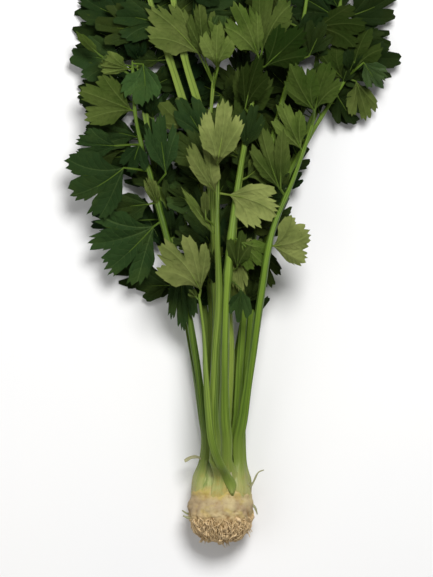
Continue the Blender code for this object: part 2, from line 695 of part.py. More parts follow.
def bulb_bumps(y, angle):
    """Shallow lobes, and the rings that old leaf feet leave on the shoulder."""
    lobes = 0.7 * math.sin(3 * angle + 0.6) + 0.5 * math.sin(5 * angle + y / 9)
    on_shoulder = math.exp(-(((y - 12) / 11) ** 2))
    rings = SCAR_HEIGHT * math.sin(2 * math.pi * SCAR_RINGS * (y + 4) / 34 + 0.5 * math.sin(angle * 2)) * on_shoulder
    return (lobes + rings) * min(1.0, (42 - y) / 20, (y + 33) / 12)


def bulb_rings(grow=0.0, low=BULB_END, high=BULB_TOP, count=BULB_RINGS):
    """Rings of points round the bulb's axis, pressed flat where it lies on the surface."""
    rings = []
    for k in range(count):
        y = low + (high - low) * 0.5 * (1 - math.cos(math.pi * k / (count - 1)))
        ring = []
        for s in range(BULB_SIDES):
            angle = 2 * math.pi * s / BULB_SIDES
            radius = bulb_radius(y) + bulb_bumps(y, angle) + grow
            z = BULB_AXIS_HEIGHT + radius * math.sin(angle)
            ring.append((radius * math.cos(angle), y, max(z, -grow)))
        rings.append(ring)
    return rings


def frame_along(points):
    """For each point of a bent line: its direction, and two directions across it that hardly twist."""
    points = np.array(points, float)
    tangents = np.gradient(points, axis=0)
    tangents /= np.linalg.norm(tangents, axis=1)[:, None]
    side = np.cross(tangents[0], [0.31, 0.52, 0.79])
    frames = []
    for tangent in tangents:
        side = side - tangent * side.dot(tangent)
        side /= np.linalg.norm(side)
        frames.append((tangent, side, np.cross(tangent, side)))
    return frames


def bent_rod(points, widths, flatness=1.0, sides=3):
    """Rings of points round a bent line, of the given half widths."""
    rings = []
    for point, width, (_, side, out) in zip(points, widths, frame_along(points)):
        angles = [2 * math.pi * (k + 0.5) / sides for k in range(sides)]
        rings.append([point + side * math.cos(a) * width + out * math.sin(a) * width * flatness for a in angles])
    return rings


def root_line(rng, share, turn):
    """The line of one short root: out of the bulb's lower part, then curling down over its skin."""
    start = ROOTS_FROM - (ROOTS_FROM - ROOTS_TO) * share
    length = rng.uniform(*ROOT_LENGTHS)
    curl = rng.uniform(-0.55, 0.55)
    points = []
    for t in (0.0, 0.4, 1.0):
        angle = turn + curl * t
        y = max(start - length * t * (0.30 + 0.55 * share), BULB_END - 5)
        out = max(bulb_radius(max(y, BULB_END + 2)), 5.0) + (-3.0, 2.2, 1.4)[round(t * 2)] * (1 - 0.2 * share)
        z = BULB_AXIS_HEIGHT + out * math.sin(angle)
        points.append(np.array([out * math.cos(angle), y, max(z, ROOT_RADIUS + 0.4)]))
    return points


def make_bulb(material):
    bulb = object_from("bulb", *tube_mesh(bulb_rings()), material)
    rng = random.Random("roots")
    grown = []
    for k in range(ROOT_COUNT):
        share = (k + 0.5) / ROOT_COUNT
        turn = k * math.pi * (3 - math.sqrt(5)) + rng.uniform(-0.2, 0.2)
        rings = bent_rod(root_line(rng, share, turn), [ROOT_RADIUS, ROOT_RADIUS, ROOT_RADIUS * 0.5])
        grown.append(object_from(f"root_{k}", *tube_mesh(rings)))
    for name, line in LOOSE_STRANDS.items():
        rings = bent_rod([np.array(p, float) for p in line], np.linspace(1.6, 0.8, len(line)), 0.6, 4)
        grown.append(object_from(name, *tube_mesh(rings)))
    join(bulb, grown, "UNION")
    return bulb


def make_fronds(material):
    pile = Pile()
    made = []
    for layer, frond in enumerate(fronds()):
        rng = random.Random(frond.name)
        stalk = Stalk(frond, layer, pile)
        solid = object_from(frond.name, *tube_mesh([stalk.section(s) for s in stalk.stations]), material)
        leaflets = []
        for k, leaflet in enumerate(frond.leaflets):
            blade = Blade(leaflet, stalk, pile, rng)
            leaflets.append(leaflet_solid(f"{frond.name}_{k}", blade))
        if frond.name == TORN_FROND:
            rings = bent_rod([np.array(p, float) for p in TORN_STRIP], TORN_WIDTHS, TORN_FLATNESS, 4)
            leaflets.append(object_from("torn_strip", *tube_mesh(rings)))
        join(solid, leaflets, "UNION")
        neck = object_from("neck", *tube_mesh(bulb_rings(FIT_GAP, NECK_CUT_FROM, BULB_TOP + FIT_GAP)))
        join(solid, [neck], "DIFFERENCE")
        made.append(solid)
    return made


def paint(name, colour, roughness):
    material = bpy.data.materials.new(name)
    material.use_nodes = True
    shader = material.node_tree.nodes["Principled BSDF"]
    shader.inputs["Base Color"].default_value = (*colour, 1.0)
    shader.inputs["Roughness"].default_value = roughness
    return material


def main():
    for old in list(bpy.data.objects):
        bpy.data.objects.remove(old)
    skin = paint("bulb_skin", (0.48, 0.39, 0.17), 0.7)
    leaf = paint("leaf", (0.13, 0.20, 0.04), 0.5)
    make_bulb(skin)
    make_fronds(leaf)


main()
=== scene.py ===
"""The looks of the leafy celeriac: every CAD node is replaced by a finer piece of the same form.

The script works in millimetres, from the middle of the bulb: X across the plant, Y from the roots to the leaf
tips, Z up from the surface. It lays the fronds on each other by the same rule as the CAD model, so each fine
leaflet lies where its solid does, and then draws them with toothed edges, veins, ribs and fine roots.
"""

import math
import random
from dataclasses import dataclass, field

import bpy
import numpy as np
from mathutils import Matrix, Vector, noise


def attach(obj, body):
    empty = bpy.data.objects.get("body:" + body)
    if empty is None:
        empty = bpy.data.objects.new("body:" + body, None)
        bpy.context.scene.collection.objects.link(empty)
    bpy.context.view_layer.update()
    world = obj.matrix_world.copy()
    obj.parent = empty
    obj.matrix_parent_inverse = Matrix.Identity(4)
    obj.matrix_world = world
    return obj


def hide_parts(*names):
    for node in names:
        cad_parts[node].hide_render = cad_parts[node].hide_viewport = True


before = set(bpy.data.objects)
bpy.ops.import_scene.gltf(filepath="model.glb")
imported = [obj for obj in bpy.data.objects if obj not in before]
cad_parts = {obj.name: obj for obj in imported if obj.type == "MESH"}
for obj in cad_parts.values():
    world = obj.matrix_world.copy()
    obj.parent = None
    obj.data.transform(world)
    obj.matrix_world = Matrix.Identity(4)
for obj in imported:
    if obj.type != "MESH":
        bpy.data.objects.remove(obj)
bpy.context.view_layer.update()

METRES = 0.001
MIDDLE = (12.5, 295.0)
GOLDEN_TURN = 3 - math.sqrt(5)
ASKEW = [0.31, 0.52, 0.79]

# The bulb
BULB_AXIS_HEIGHT = 31.8
BULB_END = -31.0
NECK_TOP = 55.0
SCAR_RINGS = 4
SCAR_HEIGHT = 0.45

# The ring of stalks round the crown
RING_PROFILE = [(4, 16), (14, 21.5), (27, 23.2), (36, 22.2), (45, 20.2), (60, 18.6), (75, 18.2)]
INNER_RING = 0.45
RING_SHIFT = 2.5
NECK_END = 66.0
RING_STATIONS = (4, 14, 27, 36, 45, NECK_END)
LAID_OVER_STATIONS = (12, 20)
LAID_OVER_FREE_FROM = 24
FREE_FROM = 104.0
LEAVES_FROM = 190.0

# How high the stalks run in the leaves, and how they rise over what lies below
LOWEST_STALK = 9.0
LAYER_STEP = 3.0
HALF_SPAN = 170.0
SIDE_FALL = 0.45
RISE_RUN = 170.0
STALK_NEARER = 0.7
LIFT_ROUNDS = 5
NO_FLOOR = -99

# The stalks
STALK_FLATNESS = 0.82
CROWNING = 0.8
ACROSS_STALK = 13
STEM_SLANT = 0.7
LAST_NODE = 3.0
NECK_STATIONS = (0, 13, 27, 44, 66, 92)
STATION_GAP = 56.0
PATH_STEP = 2.0
TAPER = 0.26
END_TAPER = 0.46
CROWN_END = 132.0
CROWN_FADE = 62.0
OUT_TURN = (60.0, 150.0)
NEAR_POINTS = 3

# A frond's end leaflet and the pairs behind it, each pair turned further out, further off and smaller
HEADING_POINTS = 8
PAIR_SPREAD = 56
SPREAD_STEP = 6
END_STEM = 2
STEM_STEP = 7
END_LENGTH = 1.14
LENGTH_STEP = 0.07
WIDTH_STEP = 0.05

# The leaflets as the CAD model has them, which decides how they lie
TOOTHED_EDGE = [
    (0, 1.0), (5.5, 0.86), (11.5, 0.90), (17, 0.60), (22.5, 0.82), (32, 0.92), (37.5, 0.76), (45, 0.78),
    (56, 0.46),
]
LOBED_EDGE = [(0, 1.0), (10, 0.86), (17, 0.62), (29, 0.92), (42, 0.80), (56, 0.46)]
NARROW_EDGE = [(0, 1.0), (12, 0.78), (34, 0.90), (54, 0.50)]
EDGE_WIDTH = 1.05
BLADE_THICKNESS = 0.9
SHORT_STEM = 7.0
TOOTHED_FROM = 60
NARROW_BELOW = 0.36
EDGE_TURN_JITTER = 1.2
EDGE_REACH_JITTER = 0.05
PITCH = 0.08
ROLL = 0.14
DROOP = (0.05, 0.20)
FOLD = (0.06, 0.20)
WAVE = (1.0, 2.0)
WAVES_ROUND = 5
JITTERS = 40
MIDRIB_ROUND = 2.0
FOLD_RUN = 8
LIFT_ROUND = 6.0
SPARSE_SAMPLES = (9, 6)
SAMPLES = (17, 12)
CHECK_SAMPLES = (15, 10)
DENSE_SAMPLES = (90, 80)
STEM_SAMPLES = 10
LYING_OVER = 1.0
HELD_TO = 2.0
FREE_RUN = 15.0
FREE_ENOUGH = 0.45
CELL = 1.0
CLEARANCE = 1.3
LOWEST = 0.8
LIFT_SLOPE = 0.14
STALK_LIFT_SLOPE = 0.25
NEIGHBOURS = (-16, -10, 10, 16)
SUNK_BELOW = 9.0
UNDERSIDE = 1
UPPER_SIDE = -1

# The fine leaflets: the outline without its cuts, as degrees from the midrib and share of the length; the
# cuts, as degrees and depth; the teeth, and the form of the blade
BODY = [(0, 1.0), (8, 0.985), (16, 0.955), (26, 0.91), (34, 0.86), (42, 0.77), (50, 0.62), (56, 0.44)]
NARROW_BODY = [(0, 1.0), (14, 0.90), (34, 0.90), (46, 0.74), (56, 0.50)]
HALF_ANGLE = 56.0
TEETH_TO = 51.0
CUT_CHOICES = [
    ((-17, 0.28), (17, 0.26)),
    ((-20, 0.14), (14, 0.32)),
    ((-13, 0.34), (20, 0.14)),
    ((-27, 0.15), (-5, 0.10), (23, 0.24)),
    ((-19, 0.10), (18, 0.13)),
]
SHALLOW_CUTS = ((-22, 0.07), (19, 0.10))
BROAD_CUTS = ((-24, 0.27), (4, 0.16), (27, 0.22))
CUT_JITTER = 2.5
CUT_DEPTHS = (0.7, 1.15)
CUT_WIDTH = 6.0
TOOTH_LENGTH = 5.3
TOOTH_LENGTHS = (0.65, 1.45)
COARSE_TEETH = 1.6
TOOTH_TOPS = (0.985, 1.015)
LEANS_BY = 30
TOOTH_DEPTH = (0.055, 0.125)
TOOTH_LEAN = 0.17
TOOTH_ROUND = 0.85
TOOTH_SHARES = (-1.0, -0.6, -0.25, 0.0, 0.25, 0.6)
POINT_TEETH = (2, 4)
POINT_DEPTH = (0.02, 0.09)
POINT_LEAN = 0.12
POINT_ROUND = 1.1
LOBE_POINT = 0.09
LOBE_ROUND = 1.6
CUT_ROUND = 1.15
LOBE_SIZES = (0.96, 1.05)
FINE_ROWS = 17
COARSE_ROWS = 11
BEND = 13.0
FOOT_SPREAD = 0.68
FINE_THICKNESS = 0.42
STEM_RADIUS = 1.15
STEM_SIDES = 8
STEM_FLATNESS = 0.9
STEM_POINTS = (9, 6)
STEM_ALONG = 300.0
MIDRIB_REACH = (0.06, 0.5)
MIDRIB_POINTS = (7, 4)
SMALL_STEM = 0.6
MIDRIB_OVER = 0.35
RIDGE_HEIGHT = 0.45
RIDGE_WIDTH = 0.9
QUILT_HEIGHT = 0.80
QUILT_FROM = 0.05
LOBE_FOLD = 2.2
LOBE_TILT = 1.2
EDGE_CURL = (-0.5, 0.9)
RUFFLE_HEIGHT = (0.3, 0.9)
RUFFLES = (9, 14)
SIDE_VEIN_GAP = 0.115
SIDE_VEIN_SLANT = 0.9
MORE_CLEARANCE = 0.3

# Small leaflets of the scene alone, which close the gaps between the others and stand among them: how many,
# how far from their nodes, and the places that they leave clear, each as x, y and reach
FILLING_LAYERS = 9
FILLERS = 150
FEWEST_CELLS = 8
FILL_ABOVE = 205.0
NODES_FROM = 175.0
NODE_STEP = 6.0
NODE_AWAY = 26
NODE_ABOVE = 0.5
FILLER_COVERS = 0.36
PAST_SPOT = (15, 11, 7, 3)
SMALL_LENGTH = 0.75
SMALL_WIDTHS = (0.7, 1.0)
SMALL_TURN = 1.3
SMALL_AWAY = (18, 34)
FILLER_LENGTH = (26.0, 52.0)
CLOSING = 15
SMALL_TO = 11
SMALL_EACH = 8
SMALL_LOW_EACH = 16
# How much of their frond's lightness the small leaflets keep: painted shade for leaflets lying deep in the
# gaps.
SMALL_LIGHT_IN_PAINTED_SHADE = 0.40
CLEAR_FROM = 5
CLEAR_PLACES = [(-44, 438, 34), (34, 311, 24), (16, 316, 22), (-10, 330, 20)]
OPEN_PLACES = [(74, 250, 32)]
SMALL_HIGHEST = 102.0
SMALL_DROP = 24.0
SMALL_CLIMB = 26.0
OPEN_SKY = 999.0
LIGHT_JITTER = 0.2
HUE_JITTER = 0.25
STICKING_SHARE = 0.06

# The fine stalks
RIBS = 7
RIB_HEIGHT = 0.07
OUTER_POINTS = 19
INNER_POINTS = 7
STALK_STEP = 4.5
NODE_SWELLING = 0.16
NODE_RUN = 5
MOST_SWELLING = 1.4
STOUT_RUN = 40
SOFT_BEND_STEP = 3.0
SOFT_BEND_REACH = 6
INNER_BEND = 2.0
BENDS_TO = (150, 40)
ROOTED_TO = (30, 12)
STALK_TAPER = 0.5
STALK_END_RUN = 14.0
LET_DOWN_FROM = 60.0
LET_DOWN_RUN = 60.0
LET_DOWN_OVER = 3
SHEATH_TOP = 46.0
SHEATH_WIDENS = 1.1
SHEATH_PROFILE = [(8, 31), (14, 30.3), (20, 29.6), (27, 28.6), (36, 26.8), (46, 24.6)]
SHEATH_INSIDE = 3.0
SHEATH_SPREADS = (50.0, 20)
SHEATH_FREE = (26, 20)
SHEATH_END_RUN = 10
SHEATH_FOOT = 13.0
SHEATH_POINT = 7.0
LAID_SHEATH = [
    (9, 11.6, 0.3), (14, 11.4, 1.6), (19, 11.0, 3.8), (25, 9.6, 6.4), (34, 5.4, 5.0), (44, 0.8, 4.2),
]
LAID_SHEATH_RUN = 14.0
LAID_SHEATH_END = 16.0

# The fine bulb; its roots, kind by kind, as count, radius, lengths, wildness and sides; the tips of the
# tufts; and the loose strands, each a line, its half widths and its flatness
BULB_ROWS = 150
BULB_COLUMNS = 168
BULB_ENDS = 14
FINE_PROFILE = [
    (-33, 2), (-31, 10), (-27.5, 17), (-23, 22.8), (-16.5, 28.4), (-8, 32), (0, 33), (8, 32), (15, 29.6),
    (21, 28), (28, 26.3), (36, 24.2), (43, 21.6), (49, 17.5), (53, 11), (55, 3),
]
ROOTS_FROM = -7.0
ROOTS_TO = -33.0
ROOT_SINK = 0.22
ROOT_OUT = (0.4, 1.2)
ROOT_DOWN = (0.1, 1.0)
ROOT_ASIDE = 0.8
ROOT_SHIFT = 2
ROOT_TURN = 0.3
ROOT_STEP = 1.7
ROOT_POINT_GAP = 1.3
ROOT_DEPTH = 1.5
ROOT_SIZES = (0.7, 1.3)
ROOT_TAPER = 0.75
LOWEST_ROOT = 1.4
MAT_MIDDLE = -4.0
MAT_DOWN = 33.5
MAT_ACROSS = 32.3
ROOT_KINDS = [
    (56, 1.8, (6, 12), 0.3, 8),
    (330, 0.85, (7, 15), 0.40, 6),
    (620, 0.45, (7, 17), 0.5, 5),
]
ROOT_TUFTS = [(28.0, -26.0, 27.0), (5.0, -38.0, 30.0), (-19.0, -33.0, 28.0), (17.0, -32.5, 34.0)]
TUFT_STRANDS = 10
TUFT_POINTS = 9
TUFT_SPREAD = 1.3
TUFT_BOW = 1.2
TUFT_RADII = (0.95, 0.6)
TUFT_START = ([0.7, 1.0, 1.0], [0, 12, 0])
LOOSE_STRANDS = [
    ([(-27, -4, 34), (-33, -6.5, 35), (-39, -3, 36)], (1.5, 1.1, 0.7), 0.5),
    ([(-26, -8, 40), (-32, -10, 42), (-38, -8, 42)], (1.6, 1.4, 0.8), 0.5),
    ([(29, 4, 36), (34, 0, 37), (36.5, -7, 36)], (1.7, 1.5, 0.6), 0.5),
    ([(26, 16, 38.5), (32, 25, 41), (37, 35, 43), (43, 38, 43)], (1.5, 1.1, 0.9, 0.5), 0.6),
    ([(-15, 46, 39), (-22, 50, 38), (-29, 50.5, 36.5), (-36.5, 46.5, 35)], (1.5, 1.6, 2.3, 2.4), 0.35),
    ([(9, 25, 60), (9.5, 30, 62), (10, 37, 63)], (2.0, 2.4, 0.6), 0.3),
]

# The first frond drawn finely, counted from the lowest, and how far all stays above the floor
FINE_FROM = 7
FLOOR_GAP = 0.1

# The surfaces: roughness, specular level and the depth of their relief in metres; how much the main, side and
# net veins show in the colour of a leaflet, and the side and net veins and the unevenness in its relief; and
# how fine the patterns are, those of fibres across and along
SURFACES = {
    "leaf_upper_side": (0.55, 0.05, 0.0005),
    "leaf_glossy_side": (0.36, 0.22, 0.0005),
    "leaf_underside": (0.7, 0.04, 0.0005),
    "stalk_skin": (0.40, 0.18, 0.0003),
    "bulb_skin": (0.68, 0.25, 0.0009),
    "root_skin": (0.72, 0.2, 0.0006),
    "dry_sheath": (0.8, 0.15, 0.0005),
    "floor_paint": (0.85, 0.1, 0.0),
}
UPPER_VEINS = (0.30, 0.15, 0.08)
UPPER_RELIEF = (-0.8, -0.35, 2.2)
UNDER_VEINS = (0.24, 0.13, 0.07)
UNDER_RELIEF = (0.7, 0.3, 2.2)
NET_SCALE = 38.0
UNEVEN_SCALE = 75.0
STALK_FIBRES = (9.0, 0.018)
STALK_BANDS = (2.6, 0.007)
NECK_FIBRES = (7.0, 0.05)
DRY_FIBRES = (4.0, 0.2)

# Colours
LEAF_TEAL = (0.006, 0.018, 0.004)
LEAF_OLIVE = (0.014, 0.021, 0.002)
LEAF_TEAL_LIGHT = (0.050, 0.106, 0.025)
LEAF_OLIVE_LIGHT = (0.102, 0.132, 0.022)
LEAF_VEIN = (0.120, 0.180, 0.055)
UNDER_GREEN = (0.006, 0.018, 0.001)
UNDER_OLIVE = (0.013, 0.020, 0.002)
UNDER_GREEN_LIGHT = (0.125, 0.205, 0.028)
UNDER_OLIVE_LIGHT = (0.225, 0.260, 0.075)
UNDER_VEIN = (0.200, 0.255, 0.070)
STALK_GREEN = (0.034, 0.075, 0.005)
STALK_YELLOW = (0.062, 0.105, 0.009)
STALK_GREEN_LIGHT = (0.115, 0.200, 0.014)
STALK_YELLOW_LIGHT = (0.240, 0.310, 0.055)
STALK_RIB = (0.160, 0.240, 0.035)
SHEATH_GREEN = (0.160, 0.215, 0.038)
SHEATH_CREAM = (0.345, 0.335, 0.120)
SHEATH_OCHRE = (0.370, 0.275, 0.080)
NECK_GREEN = (0.150, 0.205, 0.045)
NECK_PALE = (0.350, 0.375, 0.140)
BULB_CREAM = (0.470, 0.380, 0.195)
# The darker rosy colour serves both as rosy patches of the skin and as painted shade on the bulb's left side.
BULB_ROSY_AND_SHADE = (0.330, 0.240, 0.135)
BULB_OCHRE = (0.430, 0.330, 0.090)
BULB_TAN = (0.500, 0.365, 0.180)
BULB_BROWN = (0.240, 0.140, 0.050)
ROOT_BROWN = (0.500, 0.360, 0.180)
ROOT_TAN = (0.680, 0.510, 0.290)
ROOT_PALE = (0.720, 0.580, 0.370)
ROOT_DARK = (0.330, 0.205, 0.080)
DRY_GREEN = (0.270, 0.290, 0.150)
DRY_TAN = (0.420, 0.400, 0.240)
DRY_BROWN = (0.160, 0.130, 0.060)
FLOOR_PALE = (0.78, 0.78, 0.78)
FLOOR_WARM = (0.80, 0.795, 0.785)

# The picture: its size in pixels of a millimetre and where its left and top edges are; then, in metres but
# for the sensor, the camera, the floor, the sky and the lamps, each with its place, size and power
PICTURE_SIZE = (433, 577)
PICTURE_LEFT = -221.0
PICTURE_TOP = 508.0
CAMERA_HEIGHT = 3.2
LEAVES_HEIGHT = 0.045
SENSOR = 24.0
FARTHEST_SEEN = 20.0
FLOOR_SIZE = 6.0
SKY_COLOUR = (1.0, 1.0, 1.0)
SKY_STRENGTH = 0.27
LAMPS = [
    ("key", (0.35, 0.9, 2.1), 0.9, 58.0),
    ("fill", (-1.3, -0.3, 1.6), 1.6, 9.0),
]


@dataclass
class Leaflet:
    """From the foot of its blade to its tip, with its width, the face it shows, its tone, cuts and curl, and
    how far down its stalk the stem is moved."""

    foot: tuple
    tip: tuple
    width: float
    shows: int = 0
    tone: tuple = None
    cuts: tuple = None
    curl: tuple = None
    lower: float = 0.0


@dataclass
class Frond:
    """One leaf of the plant: where it stands on the crown, how wide its stalk is there and above, where it
    runs, its leaflets and those of the scene alone, their tone, its stalk's, and how stout the stalk is."""

    name: str
    clock: float
    ring: float
    shows: int
    crown_width: float
    width: float
    route: list
    leaflets: list = field(default_factory=list)
    more: list = field(default_factory=list)
    tone: tuple = (0.4, 0.5)
    stalk_tone: tuple = (0.45, 0.45, 0.0)
    stout: float = 1.0
    stout_from: float = 0.0


def pinnate(route, size, pairs):
    """An end leaflet and pairs behind it, whose distances back along the route are given."""
    path = smooth_path(route, PATH_STEP)
    back = run_of(path[::-1])
    made = []
    for number, distance in enumerate([0] + list(pairs)):
        k = len(path) - 1 - int(np.argmin(np.abs(back - distance)))
        ahead = path[k] - path[max(0, k - HEADING_POINTS)]
        heading = math.atan2(ahead[0], ahead[1])
        for side in (-1, 1) if number else (0,):
            turn = heading + side * math.radians(PAIR_SPREAD + SPREAD_STEP * number)
            way = np.array([math.sin(turn), math.cos(turn)])
            foot = path[k] + way * (END_STEM + STEM_STEP * number)
            tip = foot + way * size * (END_LENGTH - LENGTH_STEP * number)
            made.append(Leaflet(tuple(foot), tuple(tip), size * (1.0 - WIDTH_STEP * number)))
    return made


def leaflets(rows):
    """Leaflets from rows: x and y of the foot and of the tip, the width, and what else they have. A row that
    names no side shows the side that its frond does."""
    return [Leaflet(row[:2], row[2:4], *row[4:]) for row in rows]


UNDER_MIDDLE = [(-2, 110), (0, 180), (6, 260), (14, 340), (22, 420), (26, 496)]
UNDER_LEFT = [(-11, 110), (-13, 170), (-26, 240), (-48, 320), (-70, 390), (-84, 446), (-88, 498)]
UNDER_RIGHT = [(11, 110), (22, 180), (37, 250), (56, 320), (77, 385), (94, 436), (103, 488)]
LOW_LEFT = [(-22, 110), (-31, 170), (-42, 230), (-57, 300), (-72, 370), (-81, 430), (-85, 474), (-86, 524)]
LOW_RIGHT = [(20, 110), (26, 180), (40, 250), (61, 318), (86, 378), (106, 424), (118, 474), (121, 524)]
INNER_LOW = [(-6, 110), (-8, 180), (-14, 260), (-24, 340), (-38, 410), (-56, 462), (-72, 512), (-84, 560)]
INNER_LEFT = [(-3, 110), (-5, 180), (-8, 260), (-12, 340), (-24, 414), (-40, 462), (-48, 514), (-50, 566)]
INNER_RIGHT = [
    (18, 120), (22, 183), (27, 230), (35, 290), (47, 350), (62, 410), (76, 460), (86, 510), (90, 560),
]


